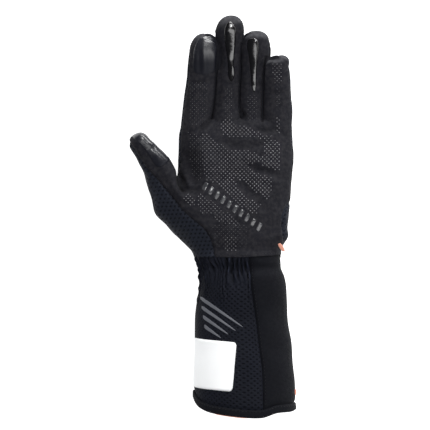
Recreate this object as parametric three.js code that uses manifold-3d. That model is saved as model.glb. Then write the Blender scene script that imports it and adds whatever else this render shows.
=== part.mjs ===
// A left-hand karting glove lying on its back, palm up, fingers towards +Y, in millimetres.
// Each form is lofted from a short table of sections, hollowed by the cloth, and cut along its seams.
import * as THREE from 'three';
import { mergeVertices } from 'three/addons/utils/BufferGeometryUtils.js';
import Module from 'manifold-3d';

// Hand sizes. Lengths run from the wrist seam, or from the crotch line between palm and fingers.
const palmLength = 106.4;
const palmWidth = 91.2;
const palmDepth = 44;
const palmHollow = 3.2; // how far the middle of the palm is pressed in
const thumbReach = 80.8; // palm centre line to thumb tip, across the hand
const thumbRise = 96.8; // wrist seam to thumb tip, along the hand
const thumbWidth = 18.8;
const thumbDepth = 19.5;
const fingerDepthShare = 0.84; // finger depth over finger width
const rootSwell = 0.2; // how much deeper a finger is at the crotches
const fingerCurl = 6; // how far the middle fingertip rises
const fingerLift = 11.6; // height of the fingers' centre line at the crotches

// Cuff sizes, from the wrist seam to the mouth.
const cuffLength = 128.4;
const wristWidth = 63.8;
const wristDepth = 37;
const wristLift = 5; // the gathered wrist arches clear of the surface by this much
const wristShift = 3.9; // wrist centre line from the palm centre line
const hemWidth = 82.4;
const hemDepth = 55;
const hemHeight = 4;
const hemLap = 0.6; // how far the folded hem stands proud
const gatherCount = 24;
const gatherHeight = 1.1;

// Cloth, clearances and small pieces.
const wall = 1.6;
const gap = 0.3;
const patchThickness = 0.8;
const labelThickness = 0.9;
const labelWidth = 36;
const labelHeight = 39;
const wristTabLength = 6.8;
const wristTabWidth = 3.2;
const hemTabLength = 4.4;
const hemTabWidth = 2;
const tabThickness = 1.4;

// Facets round a section. The inside, of which little shows, takes fewer.
const palmSides = 28;
const fingerSides = 14;
const thumbSides = 16;
const cuffPlainSides = 8;
const insideShare = 0.55;
const reach = 400; // longer than the glove, for cutters

// Fingers: root is a share of palmWidth from the palm centre line, lean is how far the tip stands to the
// right. Rows: along as a share of length, shift and width as shares of width. The last row is where the
// tip's dome starts.
const fingers = {
  index: {
    length: 72.6, width: 24, root: -0.346, lean: 7.8, blunt: 2.3,
    rows: [
      { along: -0.29, shift: 0.06, width: 0.93 },
      { along: 0, shift: 0, width: 0.943 },
      { along: 0.264, shift: 0.04, width: 1.007 },
      { along: 0.485, shift: 0.032, width: 0.953 },
      { along: 0.628, shift: 0.042, width: 0.993 },
      { along: 0.782, shift: 0.05, width: 0.983 },
    ],
  },
  middle: {
    length: 86.4, width: 23.2, root: -0.075, lean: 3.8, blunt: 2.1,
    rows: [
      { along: -0.24, shift: 0.038, width: 0.93 },
      { along: 0, shift: 0, width: 0.98 },
      { along: 0.222, shift: -0.01, width: 0.824 },
      { along: 0.407, shift: -0.017, width: 0.8 },
      { along: 0.528, shift: 0.014, width: 0.745 },
      { along: 0.657, shift: 0.031, width: 0.707 },
      { along: 0.759, shift: 0.003, width: 0.841 },
      { along: 0.861, shift: -0.014, width: 0.983 },
    ],
  },
  ring: {
    length: 74.1, width: 23.2, root: 0.152, lean: 2.6, blunt: 2.3,
    rows: [
      { along: -0.28, shift: 0.03, width: 0.76 },
      { along: 0, shift: 0, width: 0.707 },
      { along: 0.259, shift: -0.062, width: 0.786 },
      { along: 0.421, shift: -0.076, width: 0.769 },
      { along: 0.616, shift: -0.09, width: 0.738 },
      { along: 0.705, shift: -0.045, width: 0.828 },
      { along: 0.8, shift: 0.048, width: 0.98 },
      { along: 0.875, shift: 0.045, width: 0.952 },
    ],
  },
  little: {
    length: 54.2, width: 22.4, root: 0.371, lean: 1.2, blunt: 3,
    rows: [
      { along: -0.384, shift: 0.014, width: 1 },
      { along: 0, shift: 0, width: 0.964 },
      { along: 0.207, shift: -0.01, width: 1.007 },
      { along: 0.428, shift: -0.043, width: 0.936 },
      { along: 0.768, shift: -0.086, width: 0.929 },
      { along: 0.857, shift: -0.086, width: 0.886 },
    ],
  },
};

// Palm sections: up is a share of palmLength, left and right of palmWidth, under and over of palmDepth.
// The first section is the wrist seam, which the cuff gives.
const palmRows = [
  { up: 0.053, left: -0.377, right: 0.398, under: 0.05, over: 0.97 },
  { up: 0.105, left: -0.439, right: 0.43, under: 0.02, over: 0.985 },
  { up: 0.162, left: -0.5, right: 0.465, under: -0.01, over: 0.995 },
  { up: 0.218, left: -0.565, right: 0.456, under: -0.035, over: 1 },
  { up: 0.308, left: -0.62, right: 0.465, under: -0.05, over: 0.995 },
  { up: 0.391, left: -0.625, right: 0.469, under: -0.06, over: 0.97 },
  { up: 0.474, left: -0.58, right: 0.478, under: -0.06, over: 0.93 },
  { up: 0.549, left: -0.52, right: 0.487, under: -0.06, over: 0.885 },
  { up: 0.624, left: -0.5, right: 0.496, under: -0.06, over: 0.84 },
  { up: 0.729, left: -0.496, right: 0.5, under: -0.06, over: 0.775 },
  { up: 0.842, left: -0.491, right: 0.498, under: -0.055, over: 0.695 },
  { up: 0.94, left: -0.482, right: 0.493, under: -0.04, over: 0.61 },
  { up: 1, left: -0.455, right: 0.478, under: -0.01, over: 0.53 },
  { up: 1.03, left: -0.4, right: 0.43, under: 0.07, over: 0.42 },
];

// Thumb sections, from inside the palm to where the tip's dome starts: out is a share of thumbReach,
// up of thumbRise, width of thumbWidth, depth of thumbDepth, lift of palmDepth.
const thumbRows = [
  { out: 0.208, up: 0.14, width: 1.7, depth: 1.85, lift: 0.49 },
  { out: 0.347, up: 0.256, width: 1.957, depth: 1.85, lift: 0.48 },
  { out: 0.485, up: 0.372, width: 1.957, depth: 1.74, lift: 0.47 },
  { out: 0.614, up: 0.488, width: 1.7, depth: 1.54, lift: 0.465 },
  { out: 0.698, up: 0.607, width: 1.404, depth: 1.33, lift: 0.47 },
  { out: 0.762, up: 0.727, width: 1.183, depth: 1.15, lift: 0.475 },
  { out: 0.864, up: 0.855, width: 1, depth: 1, lift: 0.485 },
  { out: 0.936, up: 0.934, width: 0.894, depth: 0.92, lift: 0.49 },
];
const thumbBlunt = 2.4;

// Cuff sections: down is a share of cuffLength, spread goes from the wrist's size (0) to the mouth's (1),
// shift is a share of hemWidth, lift of wristLift, gather of gatherHeight.
const cuffRows = [
  { down: 0, spread: 0.267, shift: -0.023, lift: 0.6, gather: 0.35 },
  { down: 0.031, spread: 0.138, shift: -0.014, lift: 0.85, gather: 1 },
  { down: 0.069, spread: 0, shift: 0, lift: 1, gather: 1 },
  { down: 0.118, spread: 0.138, shift: 0.016, lift: 0.9, gather: 0.9 },
  { down: 0.174, spread: 0.241, shift: 0.025, lift: 0.6, gather: 0.45 },
  { down: 0.268, spread: 0.397, shift: 0.016, lift: 0.1, gather: 0 },
  { down: 0.393, spread: 0.526, shift: 0.011, lift: -0.3, gather: 0 },
  { down: 0.548, spread: 0.694, shift: 0.025, lift: -0.45, gather: 0 },
  { down: 0.716, spread: 0.828, shift: 0.035, lift: -0.5, gather: 0 },
  { down: 0.86, spread: 0.909, shift: 0.04, lift: -0.5, gather: 0 },
  { down: 1.03, spread: 1, shift: 0.05, lift: -0.5, gather: 0 },
];

// Seam between suede and mesh round the base of the thumb, from beyond the thumb tip to below the wrist.
const thenarSeam = [
  { out: 1.09, up: 1.01 }, { out: 1.035, up: 0.942 }, { out: 0.97, up: 0.86 }, { out: 0.911, up: 0.781 },
  { out: 0.842, up: 0.702 }, { out: 0.752, up: 0.628 }, { out: 0.663, up: 0.537 }, { out: 0.604, up: 0.479 },
  { out: 0.515, up: 0.38 }, { out: 0.401, up: 0.298 }, { out: 0.287, up: 0.223 }, { out: 0.228, up: 0.124 },
  { out: 0.202, up: 0.033 }, { out: 0.188, up: -0.2 },
];

// Side seam between the palm side and the back: height as a share of palmDepth along the palm.
const sideSeam = [
  { up: -0.3, height: 0.5 }, { up: 0, height: 0.5 }, { up: 0.3, height: 0.43 },
  { up: 0.7, height: 0.35 }, { up: 0.93, height: 0.28 },
];

// Seam between the cuff's two panels: down is a share of cuffLength, across of hemWidth from the wrist
// centre line.
const cuffSeam = [
  { down: -0.1, across: 0.088 }, { down: 0.125, across: 0.103 }, { down: 0.3, across: 0.137 },
  { down: 0.41, across: 0.161 }, { down: 0.55, across: 0.185 }, { down: 0.7, across: 0.215 },
  { down: 0.866, across: 0.224 }, { down: 1.2, across: 0.224 },
];

// Lower edge of the cuff, from beyond its thumb side to beyond its little-finger side.
const hemEdge = [
  { across: -0.7, down: 0.8 }, { across: -0.45, down: 0.84 }, { across: -0.425, down: 0.895 },
  { across: -0.36, down: 0.942 }, { across: -0.272, down: 0.97 }, { across: -0.03, down: 0.991 },
  { across: 0.21, down: 1 }, { across: 0.39, down: 0.969 }, { across: 0.555, down: 0.941 },
  { across: 0.8, down: 0.9 },
];

const wasm = await Module();
wasm.setup();

// Turns a closed three.js geometry into a solid that can be joined and cut.
function solidFrom(geometry) {
  const bare = geometry.clone();
  bare.deleteAttribute('normal');
  bare.deleteAttribute('uv');
  const merged = mergeVertices(bare, 1e-4);
  const mesh = new wasm.Mesh({
    numProp: 3,
    vertProperties: merged.attributes.position.array,
    triVerts: new Uint32Array(merged.index.array),
  });
  return new wasm.Manifold(mesh);
}

// Turns a solid back into a three.js geometry.
function geometryFrom(solid) {
  const mesh = solid.getMesh();
  const geometry = new THREE.BufferGeometry();
  geometry.setAttribute('position', new THREE.BufferAttribute(new Float32Array(mesh.vertProperties), 3));
  geometry.setIndex(new THREE.BufferAttribute(new Uint32Array(mesh.triVerts), 1));
  geometry.computeVertexNormals();
  return geometry;
}

// Skins a list of rings, which turn right-handed about the way they run, and closes both ends with a fan.
function skin(rings) {
  const sides = rings[0].length;
  const positions = [];
  const faces = [];
  const middle = (ring) => ring.reduce((sum, p) => sum.add(p), new THREE.Vector3()).divideScalar(sides);
  const points = rings.flat();
  points.push(middle(rings[0]), middle(rings.at(-1)));
  const startMiddle = points.length - 2;
  const endMiddle = points.length - 1;
  const lastRing = (rings.length - 1) * sides;
  for (const p of points) {
    positions.push(p.x, p.y, p.z);
  }
  for (let k = 0; k < sides; k += 1) {
    const next = (k + 1) % sides;
    for (let j = 0; j < rings.length - 1; j += 1) {
      const low = j * sides;
      const high = low + sides;
      faces.push(low + k, low + next, high + next, low + k, high + next, high + k);
    }
    faces.push(startMiddle, next, k, endMiddle, lastRing + k, lastRing + next);
  }
  const geometry = new THREE.BufferGeometry();
  geometry.setAttribute('position', new THREE.BufferAttribute(new Float32Array(positions), 3));
  geometry.setIndex(faces);
  return solidFrom(geometry);
}

// Lowest height of a form: the surface that it lies on, or for the inside the cloth's thickness above it.
const lowest = (grow) => Math.max(0, -grow);

// One section: a rounded oval about a centre, pressed flat where it would pass below the resting plane.
function ring({ centre, across, halfWidth, halfDepth, angles, square = 2.25, floor, ripple = () => 0 }) {
  const bulge = (value) => Math.sign(value) * Math.abs(value) ** (2 / square);
  return angles.map((angle, k) => {
    const swell = 1 + ripple(k) / Math.min(halfWidth, halfDepth);
    const out = bulge(Math.cos(angle)) * halfWidth * swell;
    const up = bulge(Math.sin(angle)) * halfDepth * swell;
    const point = centre.clone().addScaledVector(across, out);
    point.z = Math.max(point.z + up, floor);
    return point;
  });
}

function evenAngles(sides, grow) {
  const count = grow < 0 ? 2 * Math.round((sides * insideShare) / 2) : sides;
  return Array.from({ length: count }, (_, k) => (2 * Math.PI * k) / count);
}
const leftward = new THREE.Vector3(-1, 0, 0);

// Share of the full section that is left at t, on the way from where a dome starts (0) to its tip (1).
const domeShare = (t, blunt) => (1 - t ** blunt) ** (1 / blunt);
const domeSteps = [0.42, 0.74, 0.93];

// Height of the fingers' centre line above the surface, at a distance beyond the crotch line.
const fingerHeight = (beyond) => fingerLift + fingerCurl * Math.max(0, beyond / fingers.middle.length) ** 2;

// A finger, grown by `grow` all over: 0 is the cloth's outside, minus the wall is its inside.
function fingerForm(finger, grow) {
  const { length, width, root, lean, blunt, rows } = finger;
  const domeStart = rows.at(-1);
  const section = (along, shift, share, stretch) => {
    const y = palmLength + along * length + stretch;
    const x = root * palmWidth + lean * along + shift * width;
    const swell = 1 + rootSwell * THREE.MathUtils.clamp(1 - along * 4, 0, 1);
    return ring({
      centre: new THREE.Vector3(x, y, fingerHeight(along * length)),
      across: leftward,
      halfWidth: (share * width) / 2 + grow * Math.min(1, share * 1.2),
      halfDepth: (share * swell * width * fingerDepthShare) / 2 + grow * Math.min(1, share * 1.2),
      angles: evenAngles(fingerSides, grow),
      floor: lowest(grow),
    });
  };
  const rings = rows.map((row) => section(row.along, row.shift, row.width, 0));
  for (const t of domeSteps) {
    const along = domeStart.along + (1 - domeStart.along) * t;
    const left = domeShare(t, blunt);
    rings.push(section(along, domeStart.shift * (1 - t), domeStart.width * left, grow * t));
  }
  return skin(rings);
}

// The size and place of the cuff's section in one row, grown by `grow`.
function cuffSection(row, grow) {
  const width = wristWidth + row.spread * (hemWidth - wristWidth);
  const depth = wristDepth + row.spread * (hemDepth - wristDepth);
  const under = row.lift * wristLift;
  return {
    centre: new THREE.Vector3(wristShift + row.shift * hemWidth, -row.down * cuffLength, under + depth / 2),
    halfWidth: width / 2 + grow,
    halfDepth: depth / 2 + grow,
  };
}

// Depth of the dent that the cupped hand leaves in the palm.
function palmDent(x, y) {
  const across = (x / palmWidth - 0.03) / 0.24;
  const along = (y / palmLength - 0.52) / 0.3;
  return palmHollow * Math.exp(-across * across - along * along);
}

// The palm with the base of the hand, grown by `grow`. `spill` carries it past the wrist seam.
function palmForm(grow, spill) {
  const wrist = cuffSection(cuffRows[0], grow);
  const angles = evenAngles(palmSides, grow);
  const rings = [];
  for (const y of [-spill, 0].slice(spill > 0 ? 0 : 1)) {
    const centre = wrist.centre.clone().setY(y);
    rings.push(ring({ ...wrist, centre, across: leftward, angles, floor: lowest(grow) }));
  }
  for (const row of palmRows) {
    const under = row.under * palmDepth;
    const over = row.over * palmDepth;
    const x = ((row.left + row.right) / 2) * palmWidth;
    const y = row.up * palmLength + (row === palmRows.at(-1) ? grow : 0);
    rings.push(ring({
      centre: new THREE.Vector3(x, y, (under + over) / 2),
      across: leftward,
      halfWidth: ((row.right - row.left) / 2) * palmWidth + grow,
      halfDepth: (over - under) / 2 + grow,
      angles,
      floor: lowest(grow),
    }));
  }
  for (const point of rings.flat()) {
    const dent = palmDent(point.x, point.y);
    if (point.z > palmDepth / 2) {
      point.z -= dent;
    }
  }
  return skin(rings);
}

// The thumb and the muscle at its base, grown by `grow`.
function thumbForm(grow) {
  const place = (row) => new THREE.Vector3(-row.out * thumbReach, row.up * thumbRise, row.lift * palmDepth);
  const centres = thumbRows.map(place);
  const tip = place({ out: 1, up: 1, lift: thumbRows.at(-1).lift });
  const centreLine = [...centres, tip];
  const section = (centre, heading, width, depth) => ring({
    centre,
    across: new THREE.Vector3(0, 0, 1).cross(heading.clone().setZ(0).normalize()),
    halfWidth: (width * thumbWidth) / 2 + grow * Math.min(1, width * 1.2),
    halfDepth: (depth * thumbDepth) / 2 + grow * Math.min(1, depth * 1.2),
    angles: evenAngles(thumbSides, grow),
    floor: lowest(grow),
  });
  const rings = thumbRows.map((row, i) => {
    const heading = centreLine[i + 1].clone().sub(centreLine[Math.max(i - 1, 0)]);
    return section(centres[i], heading, row.width, row.depth);
  });
  const last = thumbRows.at(-1);
  const heading = tip.clone().sub(centres.at(-1));
  const stretched = heading.length() + grow;
  for (const t of domeSteps) {
    const left = domeShare(t, thumbBlunt);
    const centre = centres.at(-1).clone().addScaledVector(heading.clone().normalize(), stretched * t);
    rings.push(section(centre, heading, last.width * left, last.depth * left));
  }
  return skin(rings);
}

// Angles round the cuff: close together over the gathered mesh, wide apart over the plain panel.
function cuffAngles() {
  const seamAngle = Math.acos((2 * cuffSeam[1].across * hemWidth) / wristWidth);
  const plainStep = (2 * seamAngle) / cuffPlainSides;
  const gatherStep = (2 * Math.PI - 2 * seamAngle) / (2 * gatherCount);
  const start = Math.PI - seamAngle;
  const plain = Array.from({ length: cuffPlainSides }, (_, k) => start + plainStep * k);
  const gathered = Array.from({ length: 2 * gatherCount }, (_, k) => start + 2 * seamAngle + gatherStep * k);
  return [...plain, ...gathered];
}

// The cuff, grown by `grow`. `spill` carries it past the wrist seam and the mouth. The inside has no gathers.
function cuffForm(grow, spill) {
  const gathered = grow >= 0;
  const angles = gathered ? cuffAngles() : evenAngles(palmSides, grow);
  const rings = cuffRows.toReversed().map((row) => {
    const section = cuffSection(row, grow);
    if (row === cuffRows[0]) {
      section.centre.y += spill;
    }
    if (row === cuffRows.at(-1)) {
      section.centre.y -= spill;
    }
    const wave = gathered ? row.gather * gatherHeight * 0.5 : 0;
    const ripple = (k) => (k < cuffPlainSides ? 0 : wave * (k % 2 === 0 ? 1 : -1));
    return ring({ ...section, across: leftward, angles, floor: lowest(grow), ripple });
  });
  return skin(rings);
}

// A prism over an outline of { x, y } points, between two heights.
function prism(outline, low, high) {
  const shape = new THREE.Shape(outline.map((p) => new THREE.Vector2(p.x, p.y)));
  const geometry = new THREE.ExtrudeGeometry(shape, { depth: high - low, bevelEnabled: false });
  geometry.translate(0, 0, low);
  return solidFrom(geometry);
}

// A prism across the whole hand over an outline of { y, z } points.
function prismAcross(outline) {
  const shape = new THREE.Shape(outline.map((p) => new THREE.Vector2(p.y, p.z)));
  const geometry = new THREE.ExtrudeGeometry(shape, { depth: 2 * reach, bevelEnabled: false });
  geometry.translate(0, 0, -reach);
  geometry.applyMatrix4(new THREE.Matrix4().makeBasis(
    new THREE.Vector3(0, 1, 0), new THREE.Vector3(0, 0, 1), new THREE.Vector3(1, 0, 0),
  ));
  return solidFrom(geometry);
}

// Moves a line of { x, y } points sideways, to the right of the way it runs for a positive distance.
function besideLine(line, distance) {
  return line.map((p, i) => {
    const before = line[Math.max(i - 1, 0)];
    const after = line[Math.min(i + 1, line.length - 1)];
    const length = Math.hypot(after.x - before.x, after.y - before.y);
    return {
      x: p.x + ((after.y - before.y) / length) * distance,
      y: p.y - ((after.x - before.x) / length) * distance,
    };
  });
}

// Hand: the joined forms less their insides.
const allFingers = Object.values(fingers);
const join = (solids) => solids.reduce((sum, solid) => sum.add(solid));
const handForm = (grow, spill) => join([
  palmForm(grow, spill), thumbForm(grow), ...allFingers.map((finger) => fingerForm(finger, grow)),
]);
const aboveWrist = prism([
  { x: -reach, y: 0 }, { x: reach, y: 0 }, { x: reach, y: reach }, { x: -reach, y: reach },
], -reach, reach);
const handShell = handForm(0, 0).subtract(handForm(-wall, 2 * wall)).intersect(aboveWrist);

// Zones that the seams mark out.
const thenarLine = thenarSeam.map((p) => ({ x: -p.out * thumbReach, y: p.up * thumbRise }));
const thenarZone = (grow) => prism([
  ...besideLine(thenarLine, -grow), { x: -reach, y: -reach }, { x: -reach, y: reach },
], -reach, reach);

// Heights of the side seam, over the palm and on along the fingers.
function sideSeamLine() {
  const overPalm = sideSeam.map((p) => ({ y: p.up * palmLength, z: p.height * palmDepth }));
  const steps = [0.2, 0.45, 0.7, 1];
  const overFingers = steps.map((share) => {
    const beyond = share * fingers.middle.length;
    return { y: palmLength + beyond, z: fingerHeight(beyond) };
  });
  const last = overFingers.at(-1);
  return [...overPalm, ...overFingers, { y: last.y + reach, z: last.z }];
}
const seamLine = sideSeamLine();
const raised = (line, rise) => line.map((p) => ({ y: p.y, z: p.z + rise }));
const between = (low, high) => prismAcross([...low, ...high.toReversed()]);
const overSeam = (rise) => between(raised(seamLine, rise), raised(seamLine, reach));

// Side strips between two fingers: a band about the side seam that runs down one finger and up the next.
const stripHalfHeight = 0.24 * fingers.middle.width * fingerDepthShare;
const stripDepthBelowCrotch = 0.12 * palmLength;
const stripTop = 0.84;
function centreLineOf(finger) {
  const point = (along) => ({
    x: finger.root * palmWidth + finger.lean * along,
    y: palmLength + along * finger.length,
  });
  return [point(0), point(stripTop)];
}
function stripZone(left, right, grow) {
  const [leftRoot, leftTop] = centreLineOf(left);
  const [rightRoot, rightTop] = centreLineOf(right);
  const bottom = palmLength - stripDepthBelowCrotch - grow;
  const outline = [
    { x: leftRoot.x - grow, y: bottom }, { x: rightRoot.x + grow, y: bottom },
    { x: rightRoot.x + grow, y: palmLength }, { x: rightTop.x + grow, y: rightTop.y + grow },
    { x: (leftTop.x + rightTop.x) / 2, y: Math.max(leftTop.y, rightTop.y) + grow },
    { x: leftTop.x - grow, y: leftTop.y + grow }, { x: leftRoot.x - grow, y: palmLength },
  ];
  const half = stripHalfHeight + grow;
  return prism(outline, -reach, reach).intersect(between(raised(seamLine, -half), raised(seamLine, half)));
}
const stripPairs = {
  fourchette_index_middle: [fingers.index, fingers.middle],
  fourchette_middle_ring: [fingers.middle, fingers.ring],
  fourchette_ring_little: [fingers.ring, fingers.little],
};
const stripZones = join(Object.values(stripPairs).map(([left, right]) => stripZone(left, right, gap)));

// Cuff: one shell, cut along the curved mouth, the hem and the two seams between the panels.
const hemLine = hemEdge.map((p) => ({ x: wristShift + p.across * hemWidth, y: -p.down * cuffLength }));
const aboveHem = (rise) => prism([
  ...besideLine(hemLine, -rise), { x: reach, y: reach }, { x: -reach, y: reach },
], -reach, reach);
const belowWrist = prism([
  { x: -reach, y: -reach }, { x: reach, y: -reach }, { x: reach, y: -gap }, { x: -reach, y: -gap },
], -reach, reach);
const cuffInside = cuffForm(-wall, 2 * wall);
const cuffShell = cuffForm(0, 0).subtract(cuffInside).intersect(belowWrist);
const cuffSeamLine = cuffSeam.map((p) => ({ x: wristShift + p.across * hemWidth, y: -p.down * cuffLength }));
const plainSide = (inset) => prism([
  ...besideLine(cuffSeamLine, -inset), { x: reach, y: -reach }, { x: reach, y: reach },
], -reach, reach);
const cuffPanels = cuffShell.intersect(aboveHem(hemHeight));
const hemBand = cuffForm(hemLap, 0).subtract(cuffInside)
  .intersect(aboveHem(0)).subtract(aboveHem(hemHeight - gap));

// A thin piece that lies on a form, inside an outline, above a height.
function layer(form, thickness, outline, low) {
  return form(gap + thickness).subtract(form(gap)).intersect(prism(outline, low, reach));
}

// A rounded tongue along a finger: rows of along and half width as shares of the finger's length and width.
function tongueOutline(finger, rows) {
  const edge = (side) => rows.map((row) => ({
    x: finger.root * palmWidth + finger.lean * row.along + (row.shift + side * row.half) * finger.width,
    y: palmLength + row.along * finger.length,
  }));
  return [...edge(1), ...edge(-1).toReversed()];
}
const fingerPatch = (finger, rows) => layer(
  (grow) => fingerForm(finger, grow), patchThickness, tongueOutline(finger, rows), fingerLift,
);
const indexPatch = fingerPatch(fingers.index, [
  { along: 0.54, shift: 0.04, half: 0.2 }, { along: 0.6, shift: 0.04, half: 0.36 },
  { along: 0.75, shift: 0.05, half: 0.39 }, { along: 0.87, shift: 0.03, half: 0.36 },
  { along: 0.95, shift: 0.03, half: 0.22 },
]);
const middleStrip = fingerPatch(fingers.middle, [
  { along: 0.41, shift: 0.06, half: 0.06 }, { along: 0.44, shift: 0.06, half: 0.1 },
  { along: 0.56, shift: 0.08, half: 0.1 }, { along: 0.68, shift: 0.05, half: 0.15 },
  { along: 0.8, shift: 0, half: 0.21 }, { along: 0.88, shift: 0.02, half: 0.22 },
  { along: 0.93, shift: 0.04, half: 0.14 },
]);
const ringStrip = fingerPatch(fingers.ring, [
  { along: 0.24, shift: -0.04, half: 0.05 }, { along: 0.28, shift: -0.03, half: 0.085 },
  { along: 0.5, shift: -0.04, half: 0.09 }, { along: 0.66, shift: -0.03, half: 0.13 },
  { along: 0.8, shift: -0.06, half: 0.19 }, { along: 0.9, shift: -0.08, half: 0.17 },
  { along: 0.94, shift: -0.08, half: 0.1 },
]);
const thumbPatch = layer(thumbForm, patchThickness, [
  { out: 0.99, up: 0.985 }, { out: 0.955, up: 1.02 }, { out: 0.87, up: 0.99 }, { out: 0.84, up: 0.94 },
  { out: 0.86, up: 0.9 }, { out: 0.94, up: 0.95 },
].map((p) => ({ x: -p.out * thumbReach, y: p.up * thumbRise })), 0.49 * palmDepth);

// Label: a square-cornered patch, a little askew, that starts behind the thumb-side edge.
const labelLow = 0.3 * hemDepth;
const labelRight = { x: wristShift - 0.031 * hemWidth, y: -0.529 * cuffLength };
const labelTilt = THREE.MathUtils.degToRad(-5);
function labelOutline() {
  const along = { x: Math.cos(labelTilt), y: Math.sin(labelTilt) };
  const wide = 2 * labelWidth;
  const corner = (left, down) => ({
    x: labelRight.x - along.x * left + along.y * down,
    y: labelRight.y - along.y * left - along.x * down,
  });
  return [corner(0, 0), corner(wide, 0), corner(wide, labelHeight), corner(0, labelHeight)];
}
const label = layer((grow) => cuffForm(grow, 0), labelThickness, labelOutline(), labelLow);

// Right-hand edge of the cuff at a share of its length, and of the palm at a share of its own.
function cuffEdgeX(down) {
  const after = cuffRows.findIndex((row) => row.down >= down);
  const [a, b] = [cuffRows[after - 1], cuffRows[after]];
  const t = (down - a.down) / (b.down - a.down);
  const edge = (row) => {
    const section = cuffSection(row, 0);
    return section.centre.x + section.halfWidth;
  };
  return THREE.MathUtils.lerp(edge(a), edge(b), t);
}
const palmEdgeX = palmRows[0].right * palmWidth;

// A tab sewn into a side seam: a flat tongue that stands out of the cloth, with a rounded end.
function tab(x, y, z, length, width, tilt, form) {
  const shape = new THREE.Shape();
  const half = length / 2;
  shape.moveTo(-2 * width, -half);
  shape.lineTo(width - half * 0.6, -half);
  shape.quadraticCurveTo(width, -half, width, 0);
  shape.quadraticCurveTo(width, half, width - half * 0.6, half);
  shape.lineTo(-2 * width, half);
  const flat = { depth: tabThickness, bevelEnabled: false, curveSegments: 4 };
  const geometry = new THREE.ExtrudeGeometry(shape, flat);
  geometry.translate(0, 0, -tabThickness / 2);
  geometry.rotateZ(tilt);
  geometry.translate(x, y, z);
  return solidFrom(geometry).subtract(form);
}
const wristTabPlace = { up: 0.07, height: 0.62, tilt: -0.5 };
const wristTab = tab(
  palmEdgeX, wristTabPlace.up * palmLength, wristTabPlace.height * palmDepth,
  wristTabLength, wristTabWidth, wristTabPlace.tilt, palmForm(gap, 0),
);
const hemTabDown = 0.84;
const hemTab = tab(
  cuffEdgeX(hemTabDown), -hemTabDown * cuffLength, 0.5 * hemDepth,
  hemTabLength, hemTabWidth, 0, cuffForm(gap, 0),
);

// Materials, one for each cloth or print.
const materials = {
  suede: { color: 0x26262a, roughness: 0.9, metalness: 0 },
  mesh: { color: 0x1a1d26, roughness: 0.85, metalness: 0 },
  stretch: { color: 0x1d1e22, roughness: 0.8, metalness: 0 },
  silicone: { color: 0x0d0d10, roughness: 0.25, metalness: 0 },
  label: { color: 0xf5f7f4, roughness: 0.55, metalness: 0 },
  tab: { color: 0xf0602a, roughness: 0.6, metalness: 0 },
};

const handFront = handShell.intersect(overSeam(gap)).subtract(thenarZone(gap));
const handBack = handShell.subtract(overSeam(0).subtract(thenarZone(0)));
const pieces = [
  ['palm_panel', handFront.subtract(stripZones), 'suede'],
  ['hand_back', handBack.subtract(stripZones), 'mesh'],
  ...Object.entries(stripPairs).map(([name, [left, right]]) => [
    name, handShell.intersect(stripZone(left, right, 0)), 'stretch',
  ]),
  ['index_tip_patch', indexPatch, 'silicone'],
  ['middle_grip_strip', middleStrip, 'silicone'],
  ['ring_grip_strip', ringStrip, 'silicone'],
  ['thumb_tip_patch', thumbPatch, 'silicone'],
  ['cuff_mesh_panel', cuffPanels.subtract(plainSide(0)), 'mesh'],
  ['cuff_plain_panel', cuffPanels.intersect(plainSide(gap)), 'stretch'],
  ['cuff_hem', hemBand, 'stretch'],
  ['label_patch', label, 'label'],
  ['wrist_tab', wristTab, 'tab'],
  ['hem_tab', hemTab, 'tab'],
];

const glove = new THREE.Group();
for (const [name, solid, material] of pieces) {
  const mesh = new THREE.Mesh(geometryFrom(solid), new THREE.MeshStandardMaterial(materials[material]));
  mesh.name = name;
  glove.add(mesh);
}

// The glove's frame: the middle of its box, on the surface that it lies on.
const box = new THREE.Box3().setFromObject(glove);
glove.position.set(-(box.min.x + box.max.x) / 2, -(box.min.y + box.max.y) / 2, 0);

export default glove;
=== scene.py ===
# %% [markdown]
# # A karting glove, palm up
#
# The real thing is a long-cuffed left glove: a suede palm with printed silicone dots, a mesh-knit back,
# a gathered wrist, and a flared cuff with a folded, stitched hem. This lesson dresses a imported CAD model
# of it. The CAD gives the sizes and the place of each panel. Blender gives the cloth, seams and prints.
#
# Every length is in millimetres while a piece is shaped, from the palm's centre line (x), the wrist seam
# (y) and the surface that the glove lies on (z). One matrix takes a finished mesh to the model's frame.

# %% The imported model
import math
import random

import bmesh
import bpy
import numpy as np
from mathutils import Matrix, Vector
from mathutils.bvhtree import BVHTree


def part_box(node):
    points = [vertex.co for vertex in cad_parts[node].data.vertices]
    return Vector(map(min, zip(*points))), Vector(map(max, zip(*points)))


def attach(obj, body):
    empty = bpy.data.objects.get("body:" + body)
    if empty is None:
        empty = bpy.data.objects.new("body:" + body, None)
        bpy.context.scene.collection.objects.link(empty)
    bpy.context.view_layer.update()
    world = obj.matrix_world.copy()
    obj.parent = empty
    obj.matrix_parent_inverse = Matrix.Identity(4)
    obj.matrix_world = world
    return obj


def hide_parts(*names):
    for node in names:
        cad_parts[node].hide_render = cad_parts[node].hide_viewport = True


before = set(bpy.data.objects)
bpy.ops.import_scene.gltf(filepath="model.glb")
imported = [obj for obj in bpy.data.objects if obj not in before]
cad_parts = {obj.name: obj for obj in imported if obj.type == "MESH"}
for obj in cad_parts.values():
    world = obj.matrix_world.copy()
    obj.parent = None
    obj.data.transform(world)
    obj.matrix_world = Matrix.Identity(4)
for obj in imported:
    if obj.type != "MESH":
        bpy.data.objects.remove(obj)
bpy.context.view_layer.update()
print("CAD nodes:", sorted(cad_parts))

# %% [markdown]
# ## Sizes
#
# Each form of the glove is a stack of rounded cross-sections, written as a table: where the section is,
# how wide it is and how it sits. A smooth curve through the rows gives every section in between, so a
# few rows that were read off the photograph make a whole finger. Shares of a length, and not lengths,
# keep the tables valid if the glove is made in another size.

# %% Sizes of the hand and the cuff
MM = 0.001
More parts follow.
